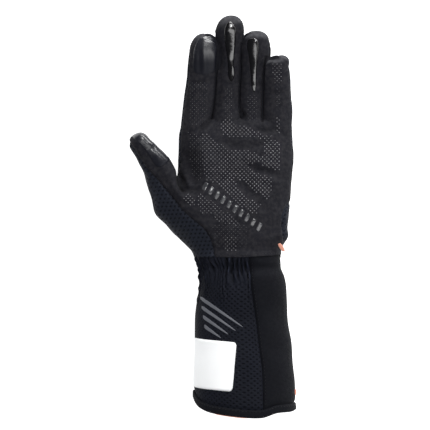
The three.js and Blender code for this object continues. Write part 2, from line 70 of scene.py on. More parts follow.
# The photograph's side in pixels, a pixel in millimetres, and the pixels of the palm's centre line and
# of the wrist seam.
PHOTO_SIZE, PIXEL = 430, 0.8
PALM_PIXEL, WRIST_PIXEL = 235, 257
PALM_LENGTH, PALM_WIDTH, PALM_DEPTH = 106.4, 91.2, 44.0
THUMB_REACH, THUMB_RISE, THUMB_WIDTH, THUMB_DEPTH = 80.8, 96.8, 18.8, 19.5
CUFF_LENGTH, WRIST_WIDTH, WRIST_DEPTH = 128.4, 63.8, 37.0
WRIST_SHIFT, WRIST_LIFT = 3.9, 5.0
HEM_WIDTH, HEM_DEPTH, HEM_HEIGHT = 82.4, 55.0, 6.2
FINGER_DEPTH_SHARE = 0.84
CLOTH = 1.3

wrist_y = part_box("palm_panel")[0].y / MM
palm_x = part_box("palm_panel")[1].x / MM - PALM_WIDTH / 2
TO_FRAME = Matrix.Translation((palm_x * MM, wrist_y * MM, 0)) @ Matrix.Diagonal((MM, MM, MM, 1))
print(f"palm centre line at x = {palm_x:.2f} mm, wrist seam at y = {wrist_y:.2f} mm")

# %% Tables of sections
# Palm: up the palm, left and right edge, underside and top.
PALM_ROWS = [
    (0.053, -0.377, 0.398, 0.05, 0.97), (0.105, -0.439, 0.43, 0.02, 0.985),
    (0.162, -0.5, 0.465, -0.01, 0.995), (0.218, -0.565, 0.456, -0.035, 1),
    (0.308, -0.62, 0.465, -0.05, 0.995), (0.391, -0.625, 0.469, -0.06, 0.97),
    (0.474, -0.58, 0.478, -0.06, 0.93), (0.549, -0.52, 0.487, -0.06, 0.885),
    (0.624, -0.5, 0.496, -0.06, 0.84), (0.729, -0.496, 0.5, -0.06, 0.775),
    (0.842, -0.491, 0.498, -0.055, 0.695), (0.94, -0.482, 0.493, -0.04, 0.61),
    (1, -0.455, 0.478, -0.01, 0.53), (1.03, -0.4, 0.43, 0.07, 0.42),
]
# Thumb: out from the centre line, up from the wrist, width, depth and height.
THUMB_ROWS = [
    (0.208, 0.14, 1.7, 1.85, 0.49), (0.347, 0.256, 1.957, 1.85, 0.48), (0.485, 0.372, 1.957, 1.74, 0.47),
    (0.614, 0.488, 1.7, 1.54, 0.465), (0.706, 0.607, 1.37, 1.33, 0.47), (0.768, 0.727, 1.183, 1.15, 0.475),
    (0.864, 0.855, 1, 1, 0.485), (0.936, 0.934, 0.894, 0.92, 0.49),
]
# Fingers: length, width, root, lean, bluntness, then rows of place along it, sideways shift and width.
FINGERS = {
    "index": (72.1, 24, -0.346, 7.8, 2.3, [
        (-0.29, 0.06, 0.93), (0, 0, 0.943), (0.264, 0.04, 1.007), (0.485, 0.032, 0.953),
        (0.628, 0.042, 0.993), (0.782, 0.05, 0.983)]),
    "middle": (86.4, 23.2, -0.075, 3.8, 2.1, [
        (-0.24, 0.038, 0.93), (0, 0, 0.98), (0.222, -0.01, 0.824), (0.407, -0.017, 0.8),
        (0.528, 0.014, 0.745), (0.657, 0.031, 0.707), (0.759, -0.005, 0.83), (0.861, -0.036, 0.945)]),
    "ring": (74.1, 23.2, 0.152, 2.6, 2.3, [
        (-0.28, 0.03, 0.76), (0, 0, 0.707), (0.259, -0.062, 0.786), (0.421, -0.076, 0.769),
        (0.616, -0.04, 0.85), (0.705, 0.02, 0.93), (0.8, 0.03, 0.95), (0.875, 0.018, 0.9)]),
    "little": (54.2, 22.4, 0.371, 1.2, 2.7, [
        (-0.384, 0.014, 1), (0, 0, 0.964), (0.207, -0.01, 1.007), (0.428, -0.043, 0.936),
        (0.768, -0.09, 0.92), (0.857, -0.105, 0.85)]),
}
# Cuff: down from the wrist, flare, sideways shift, how far it arches up, and how strongly it is gathered.
CUFF_ROWS = [
    (0, 0.267, -0.023, 0.6, 0.35), (0.031, 0.138, -0.014, 0.85, 1), (0.069, 0, 0, 1, 1),
    (0.118, 0.138, 0.016, 0.9, 0.9), (0.174, 0.241, 0.025, 0.6, 0.45), (0.268, 0.397, 0.016, 0.1, 0.05),
    (0.393, 0.526, 0.011, -0.3, 0), (0.548, 0.694, 0.025, -0.45, 0), (0.716, 0.828, 0.035, -0.5, 0),
    (0.86, 0.909, 0.04, -0.5, 0), (1.03, 1, 0.05, -0.5, 0),
]
# Seam between the cuff's panels (down, across) and the mouth's edge (across, down), in shares.
CUFF_SEAM = [
    (-0.1, 0.088), (0.125, 0.103), (0.3, 0.137), (0.41, 0.161), (0.55, 0.185), (0.7, 0.215),
    (0.866, 0.224), (1.2, 0.224),
]
HEM_EDGE = [
    (-0.7, 0.8), (-0.455, 0.862), (-0.44, 0.893), (-0.405, 0.928), (-0.35, 0.951), (-0.272, 0.968),
    (-0.03, 0.991), (0.21, 0.998), (0.36, 0.9685), (0.5, 0.96), (0.555, 0.945), (0.8, 0.9),
]
# Seam round the base of the thumb (out, up), and height of the seam along the hand's side (up, height).
THUMB_SEAM = [
    (1.09, 1.01), (1.035, 0.942), (0.97, 0.86), (0.911, 0.781), (0.842, 0.702), (0.752, 0.628),
    (0.663, 0.537), (0.604, 0.479), (0.515, 0.38), (0.401, 0.298), (0.287, 0.223), (0.228, 0.124),
    (0.202, 0.033), (0.188, -0.2),
]
SIDE_SEAM = [(-0.3, 0.5), (0, 0.5), (0.3, 0.43), (0.7, 0.35), (0.93, 0.28)]


def read_rows(rows, at):
    """A table's other columns where its first column is `at`, on a smooth curve through its rows."""
    k = max(j for j in range(len(rows) - 1) if rows[j][0] <= at or j == 0)
    before, a, b, after = (rows[min(max(k + j, 0), len(rows) - 1)] for j in (-1, 0, 1, 2))
    span = b[0] - a[0]
    t = min(max((at - a[0]) / span, 0), 1)
    values = []
    for j in range(1, len(a)):
        leave = (b[j] - before[j]) / (b[0] - before[0]) * span
        arrive = (after[j] - a[j]) / (after[0] - a[0]) * span
        values.append(a[j] + t * leave + t * t * (3 * (b[j] - a[j]) - 2 * leave - arrive)
                      + t * t * t * (2 * (a[j] - b[j]) + leave + arrive))
    return values


def smooth_line(rows, count):
    """A table filled in to `count` rows."""
    steps = np.linspace(rows[0][0], rows[-1][0], count)
    return np.array([[at, *read_rows(rows, at)] for at in steps])


def from_photo(px, py):
    """Where a pixel of the photograph lies on the glove, in millimetres."""
    return (px - PALM_PIXEL) * PIXEL, (WRIST_PIXEL - py) * PIXEL


print("index finger half way along:", [round(v, 3) for v in read_rows(FINGERS["index"][5], 0.5)])

# %% [markdown]
# ## Camera, floor and light
#
# The photograph looks square on at the palm, with almost no perspective: a long lens, far away. The
# glove lies on its back, so the camera looks straight down. The page round the glove is pure white, so
# the floor is pale and strongly lit. Black cloth shows its form only by what it reflects. The glossy
# patches tell where the lights were: a long softbox over the hand, to the right, a small one behind the
# fingertips and a low one that lights their domes and the thumb's edge. Between them it is dark, which
# keeps the black black. A weak light fills the left.

# %% Camera
VIEW_WIDTH = PHOTO_SIZE * PIXEL * MM
VIEW_DISTANCE = 6.0
AIM_HEIGHT = 20
SENSOR = 36
middle_x, middle_y = from_photo(PHOTO_SIZE / 2, PHOTO_SIZE / 2)
centre = Vector((middle_x + palm_x, middle_y + wrist_y, AIM_HEIGHT)) * MM
lens = bpy.data.cameras.new("camera")
lens.sensor_width = SENSOR
lens.lens = SENSOR * VIEW_DISTANCE / VIEW_WIDTH
lens.clip_end = 50
camera = bpy.data.objects.new("camera", lens)
camera.location = centre + Vector((0, 0, VIEW_DISTANCE))
bpy.context.scene.collection.objects.link(camera)
bpy.context.scene.camera = camera
bpy.context.scene.view_settings.view_transform = "Standard"
print(f"lens {lens.lens:.0f} mm over {VIEW_WIDTH / MM:.0f} mm of glove")

# %% Lights
def softbox(name, place, aim, width, length, power):
    """A rectangular area light that faces `aim`."""
    light = bpy.data.lights.new(name, "AREA")
    light.shape = "RECTANGLE"
    light.size, light.size_y, light.energy = width, length, power
    lamp = bpy.data.objects.new(name, light)
    lamp.location = place
    lamp.rotation_euler = (Vector(aim) - Vector(place)).to_track_quat("-Z", "Y").to_euler()
    lamp.visible_camera = False
    bpy.context.scene.collection.objects.link(lamp)
    return lamp


softbox("softbox_top", (0.6, -0.15, 1.5), (0.2, 0.0, 0), 0.8, 2.0, 18.5)
softbox("softbox_back", (0.3, 1.2, 1.4), (0.0, 0.15, 0), 0.45, 0.45, 17)
softbox("softbox_rim", (0.6, 1.3, 0.26), (0.0, 0.08, 0.02), 1.3, 0.4, 22)
softbox("softbox_left", (-1.5, -0.2, 1.1), (0.0, -0.05, 0), 0.8, 0.8, 6).visible_glossy = False

world = bpy.data.worlds.new("studio")
bpy.context.scene.world = world
world.use_nodes = True
sky = world.node_tree.nodes["Background"]
sky.inputs["Color"].default_value = (0.92, 0.94, 1, 1)
seen = world.node_tree.nodes.new("ShaderNodeLightPath").outputs["Is Camera Ray"]
bright = world.node_tree.nodes.new("ShaderNodeMapRange")
ROOM_GLOW, PAGE_GLOW = 0.08, 0.95
bright.inputs["To Min"].default_value, bright.inputs["To Max"].default_value = ROOM_GLOW, PAGE_GLOW
world.node_tree.links.new(seen, bright.inputs["Value"])
world.node_tree.links.new(bright.outputs[0], sky.inputs["Strength"])

# %% Floor
FLOOR_HALF, FLOOR_DROP = 6, 0.0005
floor_mesh = bmesh.new()
bmesh.ops.create_grid(floor_mesh, x_segments=1, y_segments=1, size=FLOOR_HALF)
floor_data = bpy.data.meshes.new("floor")
floor_mesh.to_mesh(floor_data)
floor_mesh.free()
floor = bpy.data.objects.new("floor", floor_data)
floor.location.z = -FLOOR_DROP
bpy.context.scene.collection.objects.link(floor)
paper = bpy.data.materials.new("pale_floor")
paper.use_nodes = True
for title, value in (("Base Color", (0.6, 0.6, 0.6, 1)), ("Roughness", 0.9), ("Specular IOR Level", 0.1),
                     ("Emission Color", (1, 1, 1, 1)), ("Emission Strength", 1.0)):
    paper.node_tree.nodes["Principled BSDF"].inputs[title].default_value = value
floor_data.materials.append(paper)
print("floor:", floor.name)

# %% [markdown]
# ## Finishes
#
# The glove is suede and smooth leather, mesh and stretch knit, silicone, thread, printing, a label and
# orange tape. They share three effects, so each effect is a node group with its own inputs: a knit of
# staggered dimples, a fine nap, and a slow drift of tone that keeps a large dark panel from looking like
# plastic. Patterns are measured in millimetres, from a piece's own UV map or from Object coordinates.

# %% Node helpers
def new_group(name, inputs, outputs):
    """An empty shader node group with named sockets. Inputs are (name, kind, value)."""
    group = bpy.data.node_groups.new(name, "ShaderNodeTree")
    for title, kind, value in inputs:
        socket = group.interface.new_socket(title, in_out="INPUT", socket_type="NodeSocket" + kind)
        if value is not None:
            socket.default_value = value
    for title, kind in outputs:
        group.interface.new_socket(title, in_out="OUTPUT", socket_type="NodeSocket" + kind)
    inside, outside = (group.nodes.new("NodeGroup" + kind) for kind in ("Input", "Output"))
    return group, inside.outputs, outside.inputs


def add_node(tree, kind, links=(), **settings):
    """A node with its settings. Each link is (input name or number, socket or value)."""
    node = tree.nodes.new("ShaderNode" + kind)
    for key, value in settings.items():
        setattr(node, key, value)
    for place, source in links:
        if isinstance(source, bpy.types.NodeSocket):
            tree.links.new(source, node.inputs[place])
        else:
            node.inputs[place].default_value = source
    return node


def math_node(tree, operation, first, second=0.0):
    """The value of a Math node."""
    return add_node(tree, "Math", [(0, first), (1, second)], operation=operation).outputs[0]


def map_range(tree, value, low, high, to_low=0.0, to_high=1.0):
    """A value mapped smoothly from one range to another, and held at its ends."""
    titles = ("Value", "From Min", "From Max", "To Min", "To Max")
    links = zip(titles, (value, low, high, to_low, to_high))
    return add_node(tree, "MapRange", links, interpolation_type="SMOOTHSTEP").outputs[0]


def split(tree, vector):
    """The x, y and z of a vector."""
    return add_node(tree, "SeparateXYZ", [(0, vector)]).outputs


def blend(tree, factor, *colors):
    """A colour between two, each of them a socket or three numbers."""
    first, second = (c if isinstance(c, bpy.types.NodeSocket) else (*c, 1) for c in colors)
    links = [("Factor", factor), (6, first), (7, second)]
    return add_node(tree, "Mix", links, data_type="RGBA").outputs[2]


# %% Shared effects
knit, knit_in, knit_out = new_group(
    "knit_dimples", [("Vector", "Vector", None), ("Width", "Float", 4.0), ("Height", "Float", 1.95)],
    [("Hole", "Float"), ("Rib", "Float")])
knit_x, knit_y, _ = split(knit, knit_in["Vector"])
turns_x = math_node(knit, "MULTIPLY", knit_x, 2 * math.pi)
turns_y = math_node(knit, "MULTIPLY", knit_y, math.pi)
across = math_node(knit, "DIVIDE", turns_x, knit_in["Width"])
along = math_node(knit, "DIVIDE", turns_y, knit_in["Height"])
waves = [math_node(knit, "COSINE", turned) for turned in (across, along)]
lattice = math_node(knit, "MULTIPLY", *waves)
knit.links.new(map_range(knit, lattice, 0.1, 0.85), knit_out["Hole"])
fine_across = math_node(knit, "SINE", math_node(knit, "MULTIPLY", across, 4.0))
knit.links.new(math_node(knit, "MULTIPLY", fine_across, 0.5), knit_out["Rib"])


def noise(tree, vector, scale, detail):
    """The value of a noise texture."""
    links = [("Vector", vector), ("Scale", scale), ("Detail", detail)]
    return add_node(tree, "TexNoise", links).outputs[0]


nap, nap_in, nap_out = new_group(
    "cloth_nap", [("Vector", "Vector", None), ("Scale", "Float", 2.0)],
    [("Grain", "Float"), ("Tuft", "Float")])
coarse = math_node(nap, "MULTIPLY", nap_in["Scale"], 0.22)
for title, scale, detail in (("Grain", nap_in["Scale"], 3.0), ("Tuft", coarse, 2.0)):
    nap.links.new(noise(nap, nap_in["Vector"], scale, detail), nap_out[title])

drift, drift_in, drift_out = new_group(
    "tone_drift",
    [("Vector", "Vector", None), ("Color", "Color", (0, 0, 0, 1)), ("Spread", "Float", 0.2)],
    [("Color", "Color")])
slow = math_node(drift, "SUBTRACT", noise(drift, drift_in["Vector"], 0.045, 2.0), 0.5)
swing = math_node(drift, "MULTIPLY", slow, drift_in["Spread"])
lift = math_node(drift, "ADD", math_node(drift, "MULTIPLY", swing, 2.0), 1.0)
toned = add_node(drift, "HueSaturation", [("Color", drift_in["Color"]), ("Value", lift)])
drift.links.new(toned.outputs[0], drift_out["Color"])
print("shared effects:", [g.name for g in bpy.data.node_groups])


# %% Material helpers
def place_group(tree, group, **inputs):
    """A shared effect, placed in a material with its own values. Gives its outputs."""
    return add_node(tree, "Group", inputs.items(), node_tree=group).outputs


def drifting(tree, mm, color, spread):
    """A colour whose tone drifts slowly."""
    return place_group(tree, drift, Vector=mm, Color=(*color, 1), Spread=spread)["Color"]


def new_material(name, color, roughness, specular, spread=0.0, **shader_values):
    """A material with its Principled shader and Object coordinates in millimetres. With a spread, its
    tone drifts by that much."""
    material = bpy.data.materials.new(name)
    material.use_nodes = True
    tree = material.node_tree
    shader = tree.nodes["Principled BSDF"].inputs
    values = {"Base Color": (*color, 1), "Roughness": roughness, "Specular IOR Level": specular}
    values.update((key.replace("_", " "), value) for key, value in shader_values.items())
    for title, value in values.items():
        shader[title].default_value = value
    metres = add_node(tree, "TexCoord").outputs["Object"]
    mm = add_node(tree, "VectorMath", [(0, metres), (1, (1 / MM,) * 3)], operation="MULTIPLY").outputs[0]
    if spread:
        tree.links.new(drifting(tree, mm, color, spread), shader["Base Color"])
    return material, tree, shader, mm


def vary_roughness(tree, shader, value, low, high, start=0.3, end=0.7):
    """A roughness that goes from low to high while a value goes from start to end."""
    tree.links.new(map_range(tree, value, start, end, low, high), shader["Roughness"])


def add_bump(tree, shader, height, depth):
    """A Bump node on the shader, with its depth in millimetres."""
    bump = add_node(tree, "Bump", [("Height", height), ("Distance", depth * MM), ("Strength", 1.0)])
    tree.links.new(bump.outputs[0], shader["Normal"])


def napped(name, color, roughness, specular, scale, rough=None, by="Tuft", bump=0.0, **more):
    """A material with a nap. Its roughness varies between the two of `rough` with the nap's tufts or
    grain, and the grain stands up by `bump` millimetres."""
    material, tree, shader, mm = new_material(name, color, roughness, specular, **more)
    fibres = place_group(tree, nap, Vector=mm, Scale=scale)
    if rough:
        vary_roughness(tree, shader, fibres[by], *rough)
    if bump:
        add_bump(tree, shader, fibres["Grain"], bump)
    return material, tree, shader, mm


# %% [markdown]
# ### Suede and smooth leather
#
# The palm is a microfibre suede: matt, nearly black, with a nap so short that it only shows as a slight
# mottling. Four things keep it from being one flat black: a slow drift of tone, a slightly paler surface
# where it is rubbed, a painted highlight on the domes of the fingertips where they face the lights behind
# them, and painted shade at the bottom of a crease. That painted shade comes from an attribute which is
# written when the folds are pressed in.

# %% Suede
# The second colour, darker than the palm's suede, is painted shade on the side strips between the fingers.
SUEDE, SIDE_SUEDE_PAINTED_SHADE = (0.0086, 0.0086, 0.0118), (0.0072, 0.0074, 0.01)
# The next colours are suede worn pale by rubbing, a painted highlight on the fingertips' domes where they
# face the lights behind them, and painted shade at the bottom of the folds.
RUBBED, TIP_PAINTED_HIGHLIGHT, CREASE_PAINTED_SHADE = (0.0165, 0.016, 0.019), (0.06, 0.06, 0.066), (0.0018, 0.0018, 0.0026)
suede, tree, shader, mm = new_material("suede", SUEDE, 0.8, 0.12, Sheen_Weight=0.01, Sheen_Roughness=0.4)
fibres = place_group(tree, nap, Vector=mm, Scale=1.6)
worn = map_range(tree, fibres["Tuft"], 0.35, 0.7)
rubbed = blend(tree, worn, drifting(tree, mm, SUEDE, 0.3), RUBBED)
# Painted highlight: near the tips, suede that faces the lights behind the fingers is made paler.
facing = split(tree, add_node(tree, "NewGeometry").outputs["Normal"])[1]
tip = from_photo(0, 75)[1] + wrist_y
near_tip = map_range(tree, split(tree, mm)[1], tip, tip + 15)
domed = math_node(tree, "MULTIPLY", map_range(tree, facing, 0.15, 0.7), near_tip)
domed = math_node(tree, "MULTIPLY", domed, map_range(tree, fibres["Tuft"], 0.3, 0.7, 0.5, 1))
# Painted shade: the suede is darkened at the bottom of the folds.
painted_fold_shade = add_node(tree, "Attribute", attribute_name="painted_fold_shade").outputs["Fac"]
suede_with_painted_light = blend(tree, painted_fold_shade, blend(tree, domed, rubbed, TIP_PAINTED_HIGHLIGHT), CREASE_PAINTED_SHADE)
tree.links.new(suede_with_painted_light, shader["Base Color"])
vary_roughness(tree, shader, fibres["Grain"], 0.72, 0.92)
add_bump(tree, shader, fibres["Grain"], 0.22)

# The side strips' suede is darker than the palm's: painted shade between the fingers.
side_suede_painted_shade, *_ = napped("side_suede_painted_shade", SIDE_SUEDE_PAINTED_SHADE, 0.85, 0.1, 1.6, bump=0.2, spread=0.3)

# %% Smooth leather, on the index fingertip and the thumb
LEATHER = (0.0085, 0.009, 0.013)


def leather(name, bottom, top, shine):
    """Smooth leather that is polished at `top` and worn matt at `bottom`, in rows of the photograph."""
    material, tree, shader, mm = napped(name, LEATHER, 0.45, 0.1, 0.9, (0.4, 0.52), bump=0.04,
                                        spread=0.3, Coat_Roughness=0.27, Coat_IOR=1.65)
    low, high = ((from_photo(0, row)[1] + wrist_y) for row in (bottom, top))
    polish = map_range(tree, split(tree, mm)[1], low, high, 0, shine)
    tree.links.new(polish, shader["Coat Weight"])
    return material


index_leather = leather("index_leather", 64, 43, 1)
thumb_leather = leather("thumb_leather", 164, 136, 0.7)
print("leather and suede:", [m.name for m in (suede, side_suede_painted_shade, index_leather, thumb_leather)])

# %% [markdown]
# ### Mesh knit
#
# The back of the hand, the outside of the thumb and most of the cuff are a warp-knitted mesh: a staggered
# lattice of small dimples, about three millimetres apart. On the cuff the pattern follows the cloth, so it
# reads the UV map, which is the panel laid flat. The hand's back has no simple flat shape, so there the
# pattern is projected from above and from the side, and the surface's normal chooses between the two.

# %% Mesh knit
CUFF_YARN, HAND_YARN = (0.0055, 0.0065, 0.0112), (0.0106, 0.0125, 0.019)
# The first tone is painted highlight on the crests of the gathers. The second darkens the knit's dimples
# and is also painted shade in the valleys between the gathers.
CREST_PAINTED_HIGHLIGHT_TONE, DIMPLE_AND_PAINTED_SHADE_TONE = 2.9, 0.42
HAND_KNIT_WIDTH, HAND_KNIT_TURN = 5.5, math.radians(-37)
GATHERED_FROM, GATHERED_TO = -18, -34


def mesh_material(name, yarn, pattern):
    """A mesh knit. pattern(tree, millimetres) gives its dimples and ribs, where its dimples and painted
    shade darken it, and where painted highlight makes it pale.
    """
    material, tree, shader, mm = new_material(name, yarn, 0.78, 0.1, Sheen_Weight=0.01)
    hole, rib, dark, light = pattern(tree, mm)
    fuzz = place_group(tree, nap, Vector=mm, Scale=2.4)
    # Painted highlight on the gathers' crests, and the dimples' darkness together with painted shade in the
    # gathers' valleys.
    ridge, dimple_and_painted_shade = ([share * c for c in yarn] for share in (CREST_PAINTED_HIGHLIGHT_TONE, DIMPLE_AND_PAINTED_SHADE_TONE))
    raised = blend(tree, light, drifting(tree, mm, yarn, 0.35), ridge)
    tree.links.new(blend(tree, dark, raised, dimple_and_painted_shade), shader["Base Color"])
    vary_roughness(tree, shader, hole, 0.7, 0.95, 0, 1)
    relief = math_node(tree, "SUBTRACT", math_node(tree, "MULTIPLY", rib, 0.12), hole)
    relief = math_node(tree, "ADD", relief, math_node(tree, "MULTIPLY", fuzz["Grain"], 0.35))
    add_bump(tree, shader, relief, 0.4)
    return material


def knit_from_uv(tree, mm):
    """Dimples that follow the cloth and close up where the wrist is gathered. There painted shade darkens
    the valleys between the gathers, and painted highlight makes their crests pale."""
    flat = add_node(tree, "UVMap").outputs[0]
    dimples = place_group(tree, knit, Vector=flat)
    opened = map_range(tree, split(tree, flat)[1], GATHERED_TO, GATHERED_FROM, 1, 0.15)
    hole = math_node(tree, "MULTIPLY", dimples["Hole"], opened)
    painted_fold_shade = add_node(tree, "Attribute", attribute_name="painted_fold_shade").outputs["Fac"]
    dark = math_node(tree, "MAXIMUM", hole, map_range(tree, painted_fold_shade, 0.55, 1.0))
    return hole, dimples["Rib"], dark, map_range(tree, painted_fold_shade, 0.45, 0.1)


def knit_round_hand(tree, mm):
    """Dimples seen from above, and from the side where the surface turns that way."""
    turn = [("Vector", mm), ("Rotation", (0, 0, HAND_KNIT_TURN))]
    slant = add_node(tree, "Mapping", turn).outputs[0]
    x, y, z = split(tree, mm)
    sideways = add_node(tree, "CombineXYZ", [(0, z), (1, y)]).outputs[0]
    top, side = (place_group(tree, knit, Vector=seen, Width=HAND_KNIT_WIDTH) for seen in (slant, sideways))
    facing = split(tree, add_node(tree, "NewGeometry").outputs["Normal"])[0]
    turned = map_range(tree, math_node(tree, "ABSOLUTE", facing), 0.66, 0.8)
    hole, rib = (add_node(tree, "Mix", [("Factor", turned), (2, top[title]), (3, side[title])],
                          data_type="FLOAT").outputs[0] for title in ("Hole", "Rib"))
    return hole, rib, hole, 0.0


mesh_cuff = mesh_material("mesh_knit_cuff", CUFF_YARN, knit_from_uv)
mesh_hand = mesh_material("mesh_knit_hand", HAND_YARN, knit_round_hand)
print("mesh knits:", mesh_cuff.name, mesh_hand.name)

# %% Stretch knit, on the cuff's smooth panel and the hem
STRETCH = (0.004, 0.0044, 0.0066)
stretch, tree, shader, mm = new_material("stretch_knit", STRETCH, 0.8, 0.1, 0.3, Sheen_Weight=0.01)
loops = place_group(tree, knit, Vector=add_node(tree, "UVMap").outputs[0], Width=0.9, Height=0.7)
fuzz = place_group(tree, nap, Vector=mm, Scale=2.0)
vary_roughness(tree, shader, fuzz["Tuft"], 0.74, 0.88)
ribbed = math_node(tree, "ADD", fuzz["Grain"], math_node(tree, "MULTIPLY", loops["Hole"], -0.5))
add_bump(tree, shader, ribbed, 0.16)

# %% Silicone, prints, thread, label and orange tape
# The dots' grey is partly the print's own tone and partly painted glint, brighter than what their tiny
# domes reflect.
dot_print_with_painted_glint, *_ = napped("dot_print_with_painted_glint", (0.1, 0.1, 0.107), 0.26, 0.8, 0.5, (0.2, 0.36), spread=0.6)
silicone, *_ = napped("silicone", (0.002, 0.002, 0.0028), 0.17, 0.8, 0.35, (0.13, 0.24), bump=0.12)
bar_print, *_ = napped("bar_print", (0.035, 0.036, 0.04), 0.24, 0.6, 0.5, (0.18, 0.3), spread=0.5)
grey_print, *_ = napped("grey_print", (0.105, 0.11, 0.125), 0.5, 0.35, 1.1, (0.42, 0.6), "Grain", 0.06,
                        spread=0.2)

thread, tree, shader, mm = new_material("thread", (0.0055, 0.0057, 0.008), 0.6, 0.2)
wave = add_node(tree, "TexWave", [("Vector", mm), ("Scale", 1.4)], bands_direction="DIAGONAL")
twist = wave.outputs["Fac"]
add_bump(tree, shader, twist, 0.05)
vary_roughness(tree, shader, twist, 0.45, 0.62, 0, 1)

# The label's weak bluish emission is painted light: it lightens the label's shaded side, though the label
# is no lamp.
label, tree, shader, mm = new_material("label", (0.85, 0.855, 0.85), 0.42, 0.4, 0.03,
                                       Emission_Strength=0.1, Emission_Color=(0.86, 0.93, 1, 1))
add_bump(tree, shader, place_group(tree, knit, Vector=mm, Width=0.5, Height=0.5)["Hole"], 0.04)

orange, tree, shader, mm = new_material("orange_tape", (0.95, 0.45, 0.33), 0.5, 0.35)
weave = place_group(tree, knit, Vector=mm, Width=0.7, Height=0.5)["Hole"]
tree.links.new(blend(tree, weave, (0.98, 0.5, 0.38), (0.85, 0.24, 0.12)), shader["Base Color"])
add_bump(tree, shader, weave, 0.08)
print("finishes:", [m.name for m in bpy.data.materials])

# %% [markdown]
# ## Making and finishing a piece
#
# Most pieces start as a flat grid from `bmesh.ops.create_grid`. Each of its corners knows how far it is
# across and along the grid, and a formula puts it in its place: round a finger, round the cuff, or inside
# the outline of a patch. The same two numbers give the UV map, and the painted shade kept at a corner.
# Where the grid closes into a tube, merging the doubled corners closes it.

# %% Grids that are bent into shape
def bent_grid(columns, rows, place, flat=None, mark=None, tube=False, closed=False):
    """A grid whose corners go to place(u, v), with u and v from 0 to 1. flat(u, v) is its UV map, and
    mark(u, v), an amount of painted shade, is kept at its corners as an attribute."""
    bm = bmesh.new()
    bmesh.ops.create_grid(bm, x_segments=columns, y_segments=rows, size=0.5)
    uv = bm.loops.layers.uv.new("UVMap")
    painted_fold_shade = bm.verts.layers.float.new("painted_fold_shade") if mark else None
    shares = {v: (v.co.x + 0.5, v.co.y + 0.5) for v in bm.verts}
    if flat:
        for face in bm.faces:
            for loop in face.loops:
                loop[uv].uv = flat(*shares[loop.vert])
    for v, (across, along) in shares.items():
        v.co = place(across, along)
        if mark:
            v[painted_fold_shade] = mark(across, along)
    if tube:
        bmesh.ops.remove_doubles(bm, verts=bm.verts, dist=0.001)
    if closed:
        bmesh.ops.holes_fill(bm, edges=[e for e in bm.edges if e.is_boundary], sides=0)
        bmesh.ops.recalc_face_normals(bm, faces=bm.faces)
    return bm


def turn_outwards(bm, outward):
    """Turns a sheet over if its faces look against outward(centre of a face), taken all together."""
    bmesh.ops.recalc_face_normals(bm, faces=bm.faces)
    agreement = sum(f.normal.dot(outward(f.calc_center_median())) for f in bm.faces)
    if agreement < 0:
        bmesh.ops.reverse_faces(bm, faces=bm.faces)
    return bm


def relax(bm, verts, times, only_up=False):
    """Smooths some corners a number of times, in every direction or only up and down."""
    for _ in range(times):
        bmesh.ops.smooth_vert(bm, verts=verts, factor=0.5, use_axis_x=not only_up,
                              use_axis_y=not only_up, use_axis_z=True)


def pour(part, whole):
    """Adds a mesh to another and frees it."""
    mesh = bpy.data.meshes.new("part")
    part.to_mesh(mesh)
    part.free()
    whole.from_mesh(mesh)
    bpy.data.meshes.remove(mesh)


def add_piece(bm, name, finish, nodes=(), wall=0.0):
    """Takes a mesh in millimetres to the model's frame, and makes it a piece that rides on the glove."""
    bm.transform(TO_FRAME)
    mesh = bpy.data.meshes.new(name)
    bm.to_mesh(mesh)
    bm.free()
    mesh.materials.append(finish)
    mesh.shade_smooth()
    piece = bpy.data.objects.new(name, mesh)
    bpy.context.scene.collection.objects.link(piece)
    if wall:
        cloth = piece.modifiers.new("cloth_thickness", "SOLIDIFY")
        cloth.thickness, cloth.offset = wall * MM, -1
    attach(piece, "root")
    if nodes:
        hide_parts(*nodes)
    print(f"{name}: {len(mesh.polygons)} faces")


OVAL_SQUARE, FINGER_SQUARE = 2.25, 2.55


def oval(angle, half_width, half_depth, square=OVAL_SQUARE):
    """A point of a rounded oval, a little squarer than an ellipse."""
    return [math.copysign(abs(s) ** (2 / square), s) * half
            for s, half in ((math.cos(angle), half_width), (math.sin(angle), half_depth))]


# %% [markdown]
# ## The filled-out hand
#
# The palm, the thumb and four fingers are six tubes that run into one another. Joined and remeshed at
# under a millimetre they become one skin, as the stuffed glove is. They start half a millimetre too small
# and are swelled afterwards, so neighbouring fingers stay apart while the remesh joins what belongs
# together. Folds, creases and seams are pressed into that skin, and it is then cut into its panels.

# %% Tubes of the hand
SHRINK = 0.5
TOUCH = 0.7
FINGER_HEIGHT, FINGER_RISE, MIDDLE_LENGTH = 11.6, 6, FINGERS["middle"][0]
ROOT_SWELL, DEPTH_DOME = 0.2, 1.8
# Shares of a tube's grid that go to its body. The rest goes to the domed tip.
FINGER_BODY, THUMB_BODY = 0.7, 0.75
THUMB_TILT, THUMB_DOME = 0.34, 2.4
CUP_DEPTH = 3.2


def finger_height(beyond):
    """Height of the fingers' centre line at a distance beyond the crotch line."""
    return FINGER_HEIGHT + FINGER_RISE * max(0, beyond / MIDDLE_LENGTH) ** 2


def shrunk(share, *sizes):
    """Half sizes of a tube's section, a little too small, and by less where the section is narrow."""
    return [size - SHRINK * min(1, share * 1.2) for size in sizes]


